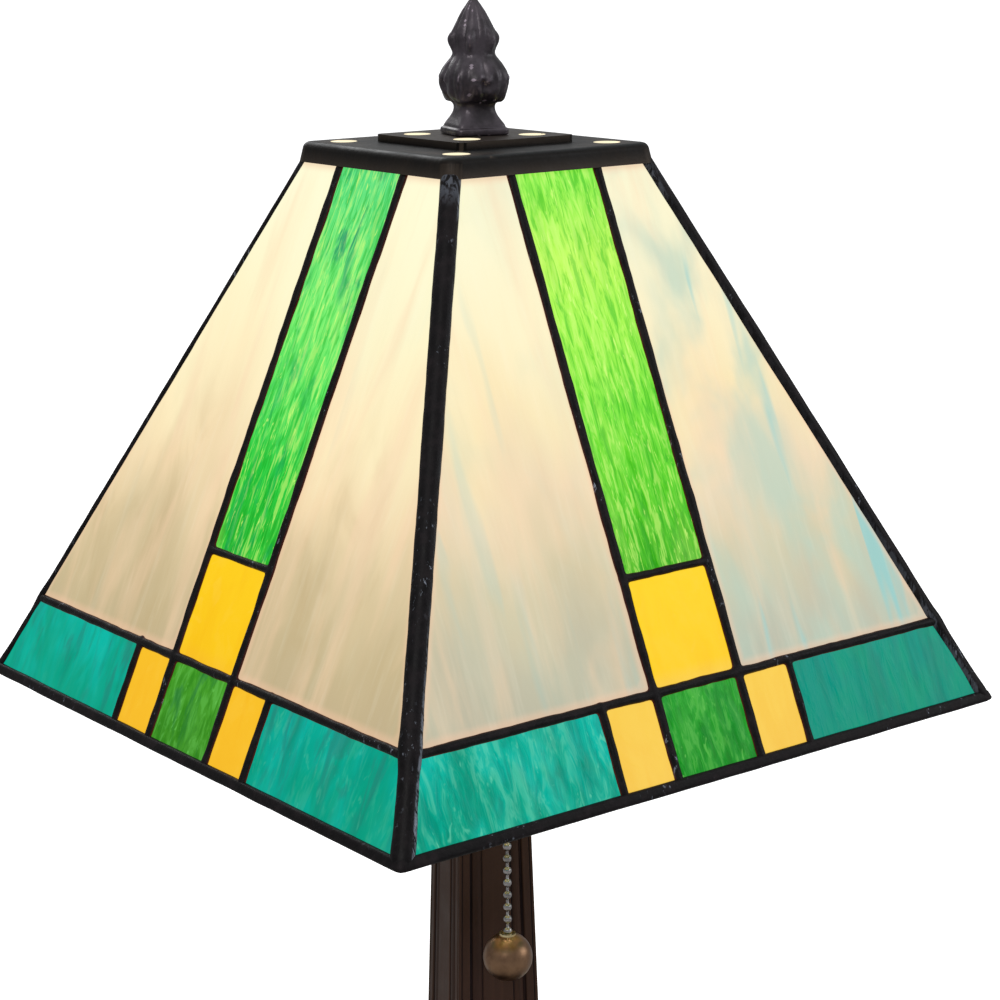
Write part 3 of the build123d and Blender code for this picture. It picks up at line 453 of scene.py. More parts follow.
def streaky_glass(
    name, base, other, streak, across=7.0, along=1.0, contrast=0.6, wisps=None, drift=None, rough=0.2
):
    """Glass with fine streaks up the slope.

    base and other are ramps over the height, mixed by tone. streak is a tint for the dark streaks and the
    colour of the bright ones. wisps is a colour and the heights between which it fades in. drift is a colour
    that the sheet drifts to in broad patches.
    """
    s = glass_base(name)
    level = s.math("DIVIDE", s.up, slope_cm)
    colour = s.mix(s.tone, s.ramp(level, level_stops(base)), s.ramp(level, level_stops(other)))
    seed = s.math("ADD", s.seed, 5.0)
    broad = s.noise(s.stretched(s.uv, (0.7, 0.3, 1), 0.2), 1.0, 3.0, 0.6, seed, 0.6)
    if drift:
        colour = s.mix(s.math("MULTIPLY", s.spread(broad, 0.36, 0.62), 0.75), colour, linear(drift))
    # dark and bright streaks: partly the glass's own streaking, partly painted light and shade of its
    # ripples, stronger on livelier panes
    darker = s.mix(1.0, colour, linear(streak[0]), "MULTIPLY")
    lively = s.math("MULTIPLY", s.attribute("ripple"), contrast)
    fine = s.noise(s.stretched(s.uv, (across, along, 1), 0.15), 1.0, 3.0, 0.62, s.seed, 0.8)
    colour = s.mix(s.math("MULTIPLY", s.spread(fine, 0.52, 0.36), lively), colour, darker)
    brighter = s.mix(0.6, colour, linear(streak[1]))
    colour = s.mix(s.math("MULTIPLY", s.spread(fine, 0.5, 0.62), lively), colour, brighter)
    soft = s.noise(s.stretched(s.uv, (1.8, 0.3, 1), 0.1), 1.0, 2.0, 0.5, s.math("ADD", s.seed, 6.0), 0.5)
    colour = s.mix(s.math("MULTIPLY", s.spread(soft, 0.5, 0.3), 0.3), colour, darker)
    lift = s.math("MULTIPLY", lively, 0.35)
    colour = s.mix(s.math("MULTIPLY", s.spread(soft, 0.52, 0.7), lift), colour, brighter)
    # raised glints where the ripples catch the light
    seed = s.math("ADD", s.seed, 9.0)
    glint = s.noise(s.stretched(s.uv, (across * 1.3, along * 1.8, 1), 0.3), 1.0, 2.0, 0.5, seed, 1.2)
    colour = s.mix(s.math("MULTIPLY", s.spread(glint, 0.62, 0.72), lively), colour, linear(streak[1]))
    if wisps:
        seed = s.math("ADD", s.seed, 2.0)
        mask = s.noise(s.stretched(s.uv, (2.0, 0.5, 1), 0.35), 1.0, 4.0, 0.6, seed, 0.6)
        height = s.spread(s.up, wisps[1], wisps[2], 0.35, 1.0)
        mask = s.math("MULTIPLY", s.spread(mask, 0.5, 0.64), s.math("MULTIPLY", s.attribute("blue"), height))
        colour = s.mix(mask, colour, linear(wisps[0]))
    return glass_finish(s, colour, 0.93, rough, fine, 0.25 * MM)


glass_materials = {
    "cream": cream_glass(),
    "green": streaky_glass(
        "glass_green",
        [
            (5.6, (48, 196, 56)),
            (8.0, (38, 206, 64)),
            (10.0, (90, 230, 98)),
            (12.5, (120, 240, 114)),
            (16.0, (94, 226, 128)),
        ],
        [
            (5.6, (70, 182, 30)),
            (8.0, (96, 212, 40)),
            (10.0, (124, 230, 60)),
            (12.5, (168, 246, 80)),
            (14.0, (190, 250, 92)),
            (16.0, (146, 240, 78)),
        ],
        ((120, 205, 130), (214, 255, 128)),
        contrast=0.7,
        wisps=((8, 132, 104), 12.0, 15.0),
    ),
    "band_green": streaky_glass(
        "glass_band_green",
        [(0.5, (58, 140, 30)), (2.6, (70, 158, 40))],
        [(0.5, (20, 142, 34)), (2.6, (40, 160, 44))],
        ((130, 200, 120), (112, 205, 92)),
        across=4.5,
        along=1.2,
        contrast=0.5,
        wisps=((14, 104, 60), 0.0, 2.0),
    ),
    "teal": streaky_glass(
        "glass_teal",
        [(0.5, (0, 140, 120)), (2.6, (0, 146, 128))],
        [(0.5, (0, 178, 156)), (2.6, (0, 184, 166))],
        ((90, 190, 195), (120, 224, 186)),
        across=3.2,
        along=0.9,
        contrast=0.42,
        wisps=((40, 116, 108), 0.0, 2.0),
        drift=(0, 152, 118),
    ),
    "amber": streaky_glass(
        "glass_amber",
        [(0.5, (246, 188, 40)), (2.7, (248, 192, 38)), (3.2, (250, 200, 24)), (5.5, (253, 206, 26))],
        [(0.5, (246, 202, 84)), (2.7, (247, 204, 78)), (3.2, (252, 206, 36)), (5.5, (254, 212, 34))],
        ((250, 236, 200), (255, 216, 90)),
        across=1.0,
        along=0.7,
        contrast=0.12,
        rough=0.25,
    ),
}

# ------------------------------------------------------------ glass panes
side_names = ("front", "right", "back", "left")
# node: (piece, material, slot, grid spacing, ripple height, ripple size across and up)
pane_kinds = {
    "cream_glass_left": ("cream_pane_left", "cream", "glass_cream", 2.0, 0.10, (9.0, 22.0)),
    "cream_glass_right": ("cream_pane_right", "cream", "glass_cream", 2.0, 0.10, (9.0, 22.0)),
    "green_glass_strip": ("green_pane_strip", "green", "glass_green", 0.7, 0.22, (1.9, 6.5)),
    "green_glass_square": ("green_pane_square", "band_green", "glass_band_green", 0.7, 0.16, (2.6, 7.0)),
    "amber_glass_block": ("amber_pane_block", "amber", "glass_amber", 1.2, 0.07, (6.0, 9.0)),
    "amber_glass_left": ("amber_pane_left", "amber", "glass_amber", 1.2, 0.07, (6.0, 9.0)),
    "amber_glass_right": ("amber_pane_right", "amber", "glass_amber", 1.2, 0.07, (6.0, 9.0)),
    "teal_glass_left": ("teal_pane_left", "teal", "glass_teal", 0.9, 0.14, (3.2, 9.0)),
    "teal_glass_right": ("teal_pane_right", "teal", "glass_teal", 0.9, 0.14, (3.2, 9.0)),
}
# tone of each pane by side: 0 is the left side's glass, 1 the front side's
side_tone = (1.0, 0.85, 0.1, 0.0)
# how much blue or teal is streaked through, for panes that differ from their side
side_blue = (0.25, 0.3, 0.45, 0.5)
pane_blue = {
    ("cream_glass_left", 0): 0.25,
    ("cream_glass_right", 0): 0.95,
    ("cream_glass_left", 3): 0.05,
    ("cream_glass_right", 3): 0.08,
    ("cream_glass_left", 2): 0.4,
    ("cream_glass_right", 2): 0.1,
    ("cream_glass_left", 1): 0.15,
    ("cream_glass_right", 1): 0.5,
    ("green_glass_strip", 0): 0.0,
    ("green_glass_strip", 1): 0.1,
    ("green_glass_strip", 2): 0.5,
    ("green_glass_strip", 3): 0.85,
}
# how strongly the streaks and the painted light and shade of the ripples show, where a pane is smoother or
# livelier than its kind
pane_ripple = {
    ("teal_glass_left", 3): 0.06,
    ("teal_glass_right", 3): 0.3,
    ("teal_glass_right", 0): 0.08,
    ("teal_glass_left", 1): 0.3,
    ("teal_glass_right", 2): 0.2,
}
pane_tone = {
    ("cream_glass_left", 0): 0.7,
    ("teal_glass_left", 0): 1.0,
    ("teal_glass_right", 0): 0.0,
    ("teal_glass_left", 3): 1.0,
    ("teal_glass_right", 3): 0.75,
}


def pane(node, side, corners, seed):
    """One rippled sheet of glass, closed all round."""
    name, kind, slot, spacing, height, (size_u, size_v) = pane_kinds[node]
    width = max(corners[1, 0] - corners[0, 0], corners[2, 0] - corners[3, 0])
    length = corners[3, 1] - corners[0, 1]
    nu = max(2, math.ceil(width / MM / spacing))
    nv = max(2, math.ceil(length / MM / spacing))
    s, t = np.meshgrid(np.linspace(0, 1, nu + 1), np.linspace(0, 1, nv + 1))
    s, t = s[..., None], t[..., None]
    low = corners[0] * (1 - s) + corners[1] * s
    high = corners[3] * (1 - s) + corners[2] * s
    uv = low * (1 - t) + high * t
    u, v = uv[..., 0] / MM, uv[..., 1] / MM
    lean = u + 0.12 * v
    wave = noise(lean / size_u + seed, v / size_v, seed)
    wave = wave + 0.5 * noise(lean / size_u * 2.3, v / size_v * 2.1 + seed, seed + 50)
    inside = np.minimum(np.minimum(s, 1 - s)[..., 0] * width, np.minimum(t, 1 - t)[..., 0] * length)
    wave = wave * np.clip(inside / glass_overlap, 0, 1) * height * MM * 0.66
    front = on_side(side, uv[..., 0], uv[..., 1], wave - face_inset)
    back = on_side(side, uv[..., 0], uv[..., 1], wave * 0.4 - glass_thickness + face_inset)
    count = (nu + 1) * (nv + 1)
    points = np.concatenate([front.reshape(-1, 3), back.reshape(-1, 3)])
    faces = []

    def at(i, j):
        return j * (nu + 1) + i

    for j in range(nv):
        for i in range(nu):
            a, b, c, d = at(i, j), at(i + 1, j), at(i + 1, j + 1), at(i, j + 1)
            faces.append((a, b, c, d))
            faces.append((a + count, d + count, c + count, b + count))
    border = [at(i, 0) for i in range(nu)] + [at(nu, j) for j in range(nv)]
    border += [at(i, nv) for i in range(nu, 0, -1)] + [at(0, j) for j in range(nv, 0, -1)]
    for here, there in zip(border, border[1:] + border[:1]):
        faces.append((there, here, here + count, there + count))
    piece = make_object(f"{name}_{side_names[side]}", points, faces, glass_materials[kind], "shade")
    mesh = piece.data
    flat_uv = np.concatenate([uv.reshape(-1, 2)] * 2) / cm
    loops = np.zeros(len(mesh.loops), int)
    mesh.loops.foreach_get("vertex_index", loops)
    layer = mesh.uv_layers.new(name="UVMap")
    layer.data.foreach_set("uv", flat_uv[loops].astype(np.float32).ravel())
    point_values(mesh, "seed", np.full(2 * count, seed * 1.37))
    point_values(mesh, "tone", np.full(2 * count, pane_tone.get((node, side), side_tone[side])))
    border_mm = (inside - glass_overlap).ravel() / MM
    point_values(mesh, "border", np.concatenate([border_mm, border_mm]))
    point_values(mesh, "ripple", np.full(2 * count, pane_ripple.get((node, side), 1.0)))
    point_values(mesh, "blue", np.full(2 * count, pane_blue.get((node, side), side_blue[side])))
    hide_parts(node)


# the seam between the back and the left side is run thinner, and its panes reach further under it
thin_corner_reach = 1.7 * MM
reaching = {
    ("cream_glass_left", 3): (0, 3, -1),
    ("teal_glass_left", 3): (0, 3, -1),
    ("cream_glass_right", 2): (1, 2, 1),
    ("teal_glass_right", 2): (1, 2, 1),
}
for number, node in enumerate(pane_kinds):
    for side in range(4):
        corners = outline(node)
        if (node, side) in reaching:
            low_corner, high_corner, sign = reaching[(node, side)]
            corners[[low_corner, high_corner], 0] += sign * thin_corner_reach
        pane(node, side, corners, 10 + number * 4 + side)


# ------------------------------------------------------------ soldered leading
def solder():
    """Black patina over hand-run solder: a few bright scratches, bare solder with painted highlights where
    the seams carry them, and warm painted light along the foil's edge.
    """
    s = Shader("solder_patina")
    place = s.place()
    mottle = s.noise(place, 260.0, 4.0, 0.6)
    colour = s.ramp(mottle, [(0.3, (8, 7, 8)), (0.5, (18, 15, 17)), (0.72, (34, 29, 31))])
    scratch = s.noise(s.stretched(place, (900, 900, 120)), 1.0, 4.0, 0.7)
    where = s.spread(s.noise(place, 45.0, 2.0), 0.52, 0.64)
    scratch_and_highlight = s.math("MULTIPLY", s.spread(scratch, 0.6, 0.68), where)
    # patches of bare solder and painted highlight, where the seams mark them
    patch = s.noise(s.stretched(place, (700, 700, 160)), 1.0, 4.0, 0.7, distortion=0.6)
    bare_and_highlight = s.math("MULTIPLY", s.attribute("bare_and_highlight"), s.spread(patch, 0.42, 0.56))
    scratch_and_highlight = s.math("MAXIMUM", scratch_and_highlight, bare_and_highlight)
    colour = s.mix(scratch_and_highlight, colour, linear((128, 134, 146)))
    # painted glow of the bulb's light along the foil's edge, where the solder meets the glass
    glow = s.spread(s.attribute("lift"), 0.5, 0.05)
    s.set(
        Base_Color=colour,
        Metallic=s.math("ADD", s.math("MULTIPLY", scratch_and_highlight, 0.7), 0.1),
        Specular_IOR_Level=0.12,
        Roughness=s.spread(mottle, 0.3, 0.7, 0.42, 0.6),
        Normal=s.bump(s.noise(place, 700.0, 3.0, 0.6), 0.12 * MM),
        Emission_Color=linear((92, 30, 14)),
        Emission_Strength=s.math("MULTIPLY", glow, 0.45),
    )
    return s.material


solder_material = solder()
front_rise = 0.95 * MM  # solder beads stand this far outside the glass
back_rise = 0.85 * MM  # and this far inside it
bead_middle = (front_rise - glass_thickness - back_rise) / 2
bead_half_depth = (front_rise + glass_thickness + back_rise) / 2


def opening(node):
    """Visible part of a pane: left, right, low and high, measured at its low edge."""
    corners = outline(node)
    return (
        corners[0, 0] + glass_overlap,
        corners[1, 0] - glass_overlap,
        corners[0, 1] + glass_overlap,
        corners[3, 1] - glass_overlap,
    )


strip = opening("green_glass_strip")
square = opening("green_glass_square")
block = opening("amber_glass_block")
small_amber = opening("amber_glass_right")
cream = opening("cream_glass_right")
teal = opening("teal_glass_right")


def lead_line(a, b, gap, seed):
    """One wavy solder bead between two panes: a and b are (across, up), gap the space between the glass."""
    a, b = np.array(a), np.array(b)
    run = b - a
    length = np.hypot(*run)
    along = run / length
    beside = np.array([-along[1], along[0]])
    count = max(4, int(length / (1.6 * MM)))
    rings = []
    for step in np.linspace(0, 1, count + 1):
        reach = step * length / MM
        wide = 1 + 0.10 * noise(reach / 5.0, 0.5, seed) + 0.07 * noise(reach / 13.0, 2.5, seed)
        tall = 1 + 0.10 * noise(reach / 6.0, 4.5, seed)
        shift = 0.13 * MM * noise(reach / 9.0, 6.5, seed)
        side_way, depth = superellipse(20, gap / 2 * 1.1 * wide, bead_half_depth * tall, 2.7)
        at = a + along * step * length
        across = at[0] + beside[0] * (side_way + shift)
        up = at[1] + beside[1] * (side_way + shift)
        rings.append((across, up, bead_middle + depth))
    return rings


def corner_trim(up):
    """Where a side's leading ends, just inside the corner seam."""
    return half_at(up) - 1.6 * MM


def side_leading(side):
    """All leading of one side as one fused net."""
    upright_x = (strip[1] + cream[0]) / 2
    upright_gap = cream[0] - strip[1]
    band_up = (square[3] + cream[2]) / 2
    band_gap = cream[2] - square[3]
    block_up = (block[3] + strip[2]) / 2
    top = strip[3] + 3.0 * MM
    low = square[2] - 2.0 * MM
    inner_x = (square[1] + small_amber[0]) / 2
    outer_x = (small_amber[1] + teal[0]) / 2
    lines = [
        ((-corner_trim(band_up), band_up), (corner_trim(band_up), band_up), band_gap),
        ((-upright_x, block_up), (upright_x, block_up), strip[2] - block[3]),
        ((-corner_trim(top) + 1 * MM, top - 0.6 * MM), (corner_trim(top) - 1 * MM, top - 0.6 * MM), 3.4 * MM),
    ]
    for sign in (-1, 1):
        lines.append(((sign * upright_x, band_up), (sign * upright_x, top), upright_gap))
        lines.append(((sign * inner_x, low), (sign * inner_x, band_up), small_amber[0] - square[1]))
        lines.append(((sign * outer_x, low), (sign * outer_x, band_up), teal[0] - small_amber[1]))
    parts = []
    for number, (a, b, gap) in enumerate(lines):
        rings = lead_line(a, b, gap, 200 + side * 20 + number)
        parts.append(tube([on_side(side, *ring) for ring in rings]))
    # a small pool of solder where lines cross
    crossings = [(sign * upright_x, level) for sign in (-1, 1) for level in (band_up, block_up)]
    crossings += [(sign * outer_x, band_up) for sign in (-1, 1)]
    for number, (x, up) in enumerate(crossings):
        radius = (1.75 + 0.35 * noise(number * 1.7, side, 90)) * MM
        parts.append(pool(side, x, up, radius))
    points, faces = merge(parts)
    name = f"{side_names[side]}_solder_leading"
    piece = make_object(name, points, faces, solder_material, "shade")
    mesh = fused(piece, 0.42 * MM, 5)
    finish_solder(mesh, side, 300 + side)
    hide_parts(f"{side_names[side]}_panel_leading")


def pool(side, x, up, radius):
    """Low round cushion of solder."""
    rings = []
    for angle in np.linspace(-math.pi / 2, math.pi / 2, 9)[1:-1]:
        turn = np.linspace(0, 2 * math.pi, 18, endpoint=False)
        reach = radius * math.cos(angle)
        depth = bead_middle + bead_half_depth * 1.04 * math.sin(angle)
        rings.append(on_side(side, x + reach * np.cos(turn), up + reach * np.sin(turn), depth))
    return tube(rings)


def finish_solder(mesh, side, seed):
    """Roughen the fused skin a little and note how far each point stands off the glass."""
    co = roughen(mesh, (2.2, 3.1, 2.6), 0.06, seed)
    out = glass_gap(co)
    point_values(mesh, "lift", np.maximum(out, -glass_thickness - out) / MM)


def glass_gap(co):
    """How far points are outside the nearest side's outer glass face."""
    reach = np.maximum(np.abs(co[:, 0]), np.abs(co[:, 1]))
    return reach * cos_slope + co[:, 2] * sin_slope - face_distance


for side in range(4):
    side_leading(side)


# corner directions, seam radius and inset in mm, and how strongly its edge shows bare solder and painted
# highlight
seam_kinds = (
    ((-1, -1), 2.65, 1.3, 1.0),
    ((1, -1), 2.5, 1.3, 0.3),
    ((1, 1), 2.6, 1.3, 0.5),
    ((-1, 1), 1.5, 0.95, 0.2),
)


def corner_seam_piece():
    """Thick hand-run seams down the four corners, two of them with a run of excess solder at the foot."""
    run_height = 46  # mm above the foot of the glass
    z_low = shade_low + rim_lift + 0.5 * MM  # inside the rim
    z_high = cap_low + 2.5 * MM  # under the cap's skirt
    slope = sin_slope / cos_slope
    parts = []
    for corner, ((sx, sy), thick, inset, bare_and_highlight) in enumerate(seam_kinds):
        seed = 400 + corner
        rings = []
        for z in np.arange(z_low, z_high, 1.2 * MM):
            reach = (z - shade_low) / MM
            middle = shade_half - (z - shade_low) * slope - inset * MM
            radius = 1 + 0.035 * noise(reach / 7.0, 0.5, seed) + 0.03 * noise(reach / 19.0, 3.5, seed)
            radius *= thick
            # a little fuller above the rim and at the band, and drawn in at the foot
            radius += 0.3 * math.exp(-(((reach - 5.0) / 3.0) ** 2))
            radius += 0.3 * math.exp(-(((reach - 25.5) / 2.5) ** 2))
            radius -= 0.9 * max(0.0, 1.0 - (reach - 1.8) / 2.5)
            radius *= MM
            angle = np.linspace(0, 2 * math.pi, 28, endpoint=False)
            wobble = 0.08 * MM * noise(reach / 15.0, 7.5, seed)
            x = sx * middle + radius * np.cos(angle) + wobble * sy
            y = sy * middle + radius * np.sin(angle) - wobble * sx
            rings.append(np.stack([x, y, np.full(28, z)], -1))
        parts.append(tube(rings))
        if sx * sy < 0:
            continue
        # lumpy run of excess solder down one edge of the seam
        lumps = []
        for z in np.arange(shade_low + 2.0 * MM, shade_low + run_height * MM, 0.8 * MM):
            reach = (z - shade_low) / MM
            middle = shade_half - (z - shade_low) * slope
            fade = min(1.0, (run_height - reach) / 14)
            radius = (0.55 + 0.4 * noise(reach / 2.6, 0.5, seed + 9)) * fade + 0.25
            angle = np.linspace(0, 2 * math.pi, 12, endpoint=False)
            x = sx * (middle - 2.9 * MM * thick / 2.65) + radius * MM * np.cos(angle)
            y = sy * (middle + 0.1 * MM) + radius * MM * np.sin(angle)
            lumps.append(np.stack([x, y, np.full(12, z)], -1))
        parts.append(tube(lumps))
    points, faces = merge(parts)
    piece = make_object("corner_solder_seams", points, faces, solder_material, "shade")
    mesh = fused(piece, 0.4 * MM, 3)
    co = roughen(mesh, (2.0, 2.7, 4.0), 0.05, 410)
    point_values(mesh, "lift", np.full(len(co), 1.0))
    # along one edge near the foot the seam shows bare solder with a painted highlight on it; along that edge
    # near the cap, and on the crest just under the cap, a painted highlight
    up = (co[:, 2] - shade_low) / MM
    middle = shade_half - (co[:, 2] - shade_low) * slope
    from_corner = (middle - np.abs(co[:, 0])) / MM
    edge = np.clip((from_corner - 1.9) / 0.5, 0, 1) * (np.abs(co[:, 1]) > np.abs(co[:, 0]))
    height = np.clip((60 - up) / 30, 0.12, 1) + np.clip((up - 138) / 6, 0, 1)
    # painted highlight on the seam's crest just under the cap
    painted_crest_highlight = 0.35 * np.clip((up - 143) / 4, 0, 1)
    strength = np.zeros(len(co))
    for (sx, sy), _, _, bare_and_highlight in seam_kinds:
        here = (co[:, 0] * sx > 0) & (co[:, 1] * sy > 0)
        strength[here] = bare_and_highlight
    point_values(mesh, "bare_and_highlight", np.clip(np.maximum(edge * height, painted_crest_highlight) * strength, 0, 1))
    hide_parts("corner_seams")


corner_seam_piece()


def rim_piece():
    """Solder-coated channel round the bottom edge, rounded and slightly uneven."""
    low, high = rim_lift / cos_slope + 0.25 * MM, square[2] - 0.1 * MM
    front, back = 1.2 * MM, -4.5 * MM
    w, v = superellipse(32, (front - back) / 2, (high - low) / 2, 5.0)
    w = w + (front + back) / 2
    v = v + (high + low) / 2
    out = shade_half - v * sin_slope + w * cos_slope
    z = shade_low + v * cos_slope + w * sin_slope
    rings = []
    count = 560
    squareness = 160  # the corners are only just rounded
    for step in range(count):
        # even steps round a square, so that the corners are as fine as the sides
        side, part = divmod(step / count * 4, 1)
        across = 2 * part - 1
        turn = side * math.pi / 2
        x, y = across, -1.0
        shrink = (abs(x) ** squareness + abs(y) ** squareness) ** (-1 / squareness)
        x, y = x * shrink, y * shrink
        arc = step / count * 8 * shade_half / MM
        wave = 0.10 * noise(arc / 7.0, 0.5, 500) + 0.08 * noise(arc / 23.0, 2.5, 500)
        lift = 0.10 * noise(arc / 11.0, 4.5, 500)
        c, s = math.cos(turn), math.sin(turn)
        reach = out + wave * MM
        px, py = x * reach, y * reach
        rings.append(np.stack([px * c - py * s, px * s + py * c, z + lift * MM], -1))
    points, faces = tube(rings, close=True)
    faces = [face[::-1] for face in faces]
    piece = make_object("shade_rim_channel", points, faces, rim_material, "shade")
    point_values(piece.data, "lift", np.full(len(points), 1.0))
    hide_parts("shade_rim")


rim_material = solder_material
rim_piece()


# ------------------------------------------------------------ finial
def finial_piece():
    """Cast finial: stepped square foot, waist, bud of four scrolled leaves, knobbed ring and ribbed cone."""
    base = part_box("finial")[0].z
    turn = math.radians(-16.7)  # as the finial is screwed down in the frame
    # height, radius, squareness, leaf, knob and rib amounts, in mm above the cap
    levels = np.array(
        [
            (0.0, 3.9, 2.0, 0, 0, 0),
            (0.0, 7.2, 9.0, 0, 0, 0),
            (0.3, 7.6, 9.0, 0, 0, 0),
            (1.5, 7.6, 9.0, 0, 0, 0),
            (1.9, 7.3, 9.0, 0, 0, 0),
            (2.0, 6.9, 9.0, 0, 0, 0),
            (2.8, 6.7, 9.0, 0, 0, 0),
            (3.6, 6.2, 8.0, 0, 0, 0),
            (4.8, 5.5, 6.0, 0, 0, 0),
            (6.2, 5.0, 4.0, 0, 0, 0),
            (7.6, 5.1, 3.0, 0, 0, 0),
            (8.6, 5.7, 2.4, 0.2, 0, 0),
            (9.6, 6.9, 2.2, 0.7, 0, 0),
            (11.2, 8.2, 2.0, 0.9, 0, 0),
            (13.2, 8.9, 2.0, 1.0, 0, 0),
            (15.2, 9.0, 2.0, 1.0, 0, 0),
            (17.2, 8.4, 2.0, 0.9, 0, 0),
            (19.0, 7.2, 2.0, 0.6, 0, 0),
            (20.4, 6.1, 2.0, 0.3, 0, 0.2),
            (21.4, 5.7, 2.0, 0.1, 0.2, 0.3),
            (22.8, 5.9, 2.0, 0, 0.9, 0.3),
            (24.4, 6.5, 2.0, 0, 1.4, 0.4),
            (26.0, 6.5, 2.0, 0, 1.4, 0.6),
            (27.2, 5.8, 2.0, 0, 0.6, 0.8),
            (28.4, 5.3, 2.0, 0, 0.1, 1.0),
            (30.0, 4.4, 2.0, 0, 0, 1.0),
            (31.8, 3.5, 2.0, 0, 0, 1.0),
            (33.4, 2.5, 2.0, 0, 0, 0.8),
            (34.8, 1.5, 2.0, 0, 0, 0.4),
            (35.8, 0.8, 2.0, 0, 0, 0.1),
            (36.3, 0.25, 2.0, 0, 0, 0),
        ]
    )
    measure = np.linspace(0, len(levels) - 1, 260)
    lookup = np.arange(len(levels))
    blur = np.exp(-np.linspace(-1.6, 1.6, 15) ** 2)
    smooth = []
    for column in levels.T:
        values = np.interp(measure, lookup, column)
        padded = np.pad(values, 7, mode="edge")
        smooth.append(np.convolve(padded, blur / blur.sum(), mode="valid"))
    count = 176
    angle = np.linspace(0, 2 * math.pi, count, endpoint=False)
    rings = []
    for height, radius, square_power, leaf, knob, rib in zip(*smooth):
        c, s = np.abs(np.cos(angle)), np.abs(np.sin(angle))
        reach = radius * (c**square_power + s**square_power) ** (-1 / square_power)
        # four leaves on the corners, each with a raised midrib and a furrow either side
        phase = angle % (math.pi / 2) - math.pi / 4
        from_leaf = np.abs(phase)
        body = np.exp(-((from_leaf / 0.42) ** 2))
        midrib = np.exp(-((from_leaf / 0.11) ** 2))
        furrow = np.exp(-(((from_leaf - 0.24) / 0.09) ** 2))
        gap = np.exp(-(((from_leaf - math.pi / 4) / 0.11) ** 2))
        reach = reach + leaf * (0.85 * body + 0.25 * midrib - 0.4 * furrow - 0.8 * gap)
        # a spiral scroll curls on the faces between the leaves
        swirl_x = (from_leaf - math.pi / 4) * np.sign(phase) * 8.4
        swirl_y = height - 14.2
        distance = np.hypot(swirl_x, swirl_y)
        twist = np.arctan2(swirl_y, swirl_x)
        fade = np.exp(-((distance / 3.6) ** 2)) * min(1, distance.min() + 0.8)
        reach = reach + leaf * 0.5 * fade * np.cos(twist - distance * 1.25)
        knobs = np.maximum(0, np.cos(angle * 6)) ** 1.5
        reach = reach + knob * (0.95 * knobs - 0.35)
        ribs = np.abs(np.cos(angle * 5 + 0.6)) ** 0.7
        reach = reach + rib * (0.42 * ribs - 0.3) * min(1, radius / 3)
        # the leaf tips hang over the waist
        droop = leaf * 1.5 * body * math.exp(-(((height - 10.0) / 1.8) ** 2))
        z = base + (height - droop) * MM
        grain = 0.03 * noise(angle * 14, np.full(count, height * 2.2), 600)
        reach = (reach + grain) * MM
        rings.append(np.stack([reach * np.cos(angle + turn), reach * np.sin(angle + turn), z], -1))
    points, faces = tube(rings)
    piece = make_object("cast_finial", points, faces, finial_material, "finial")
    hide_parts("finial")


finial_material = metal(
    "bronze_finial", (38, 33, 38), (74, 67, 74), rough=(0.3, 0.44), metallic=0.4, size=120.0, wear=0.45
)
finial_piece()


# ------------------------------------------------------------ materials of the CAD pieces
def casting():
    """Dark mahogany bronze paint, rubbed along its arrises."""
    s = Shader("bronze_casting")
    place = s.place()
    mottle = s.noise(place, 60.0, 5.0, 0.6)
    colour = s.ramp(mottle, [(0.3, (16, 9, 11)), (0.5, (27, 17, 20)), (0.72, (40, 26, 28))])
    streak = s.noise(s.stretched(place, (420, 420, 12)), 1.0, 3.0)
    colour = s.mix(s.math("MULTIPLY", s.spread(streak, 0.5, 0.7), 0.35), colour, linear((72, 48, 40)))
    edge = s.spread(s.node("NewGeometry").outputs["Pointiness"], 0.51, 0.57)
    colour = s.mix(s.math("MULTIPLY", edge, 0.4), colour, linear((104, 74, 58)))
    s.set(
        Base_Color=colour,
        Metallic=0.15,
        Specular_IOR_Level=0.15,
        Roughness=s.spread(mottle, 0.3, 0.7, 0.42, 0.55),
        Normal=s.bump(s.noise(place, 800.0, 3.0), 0.05 * MM),
    )
    return s.material


vent_centres = (25.2 * MM, 11.0 * MM)
vent_radius = 3.6 * MM


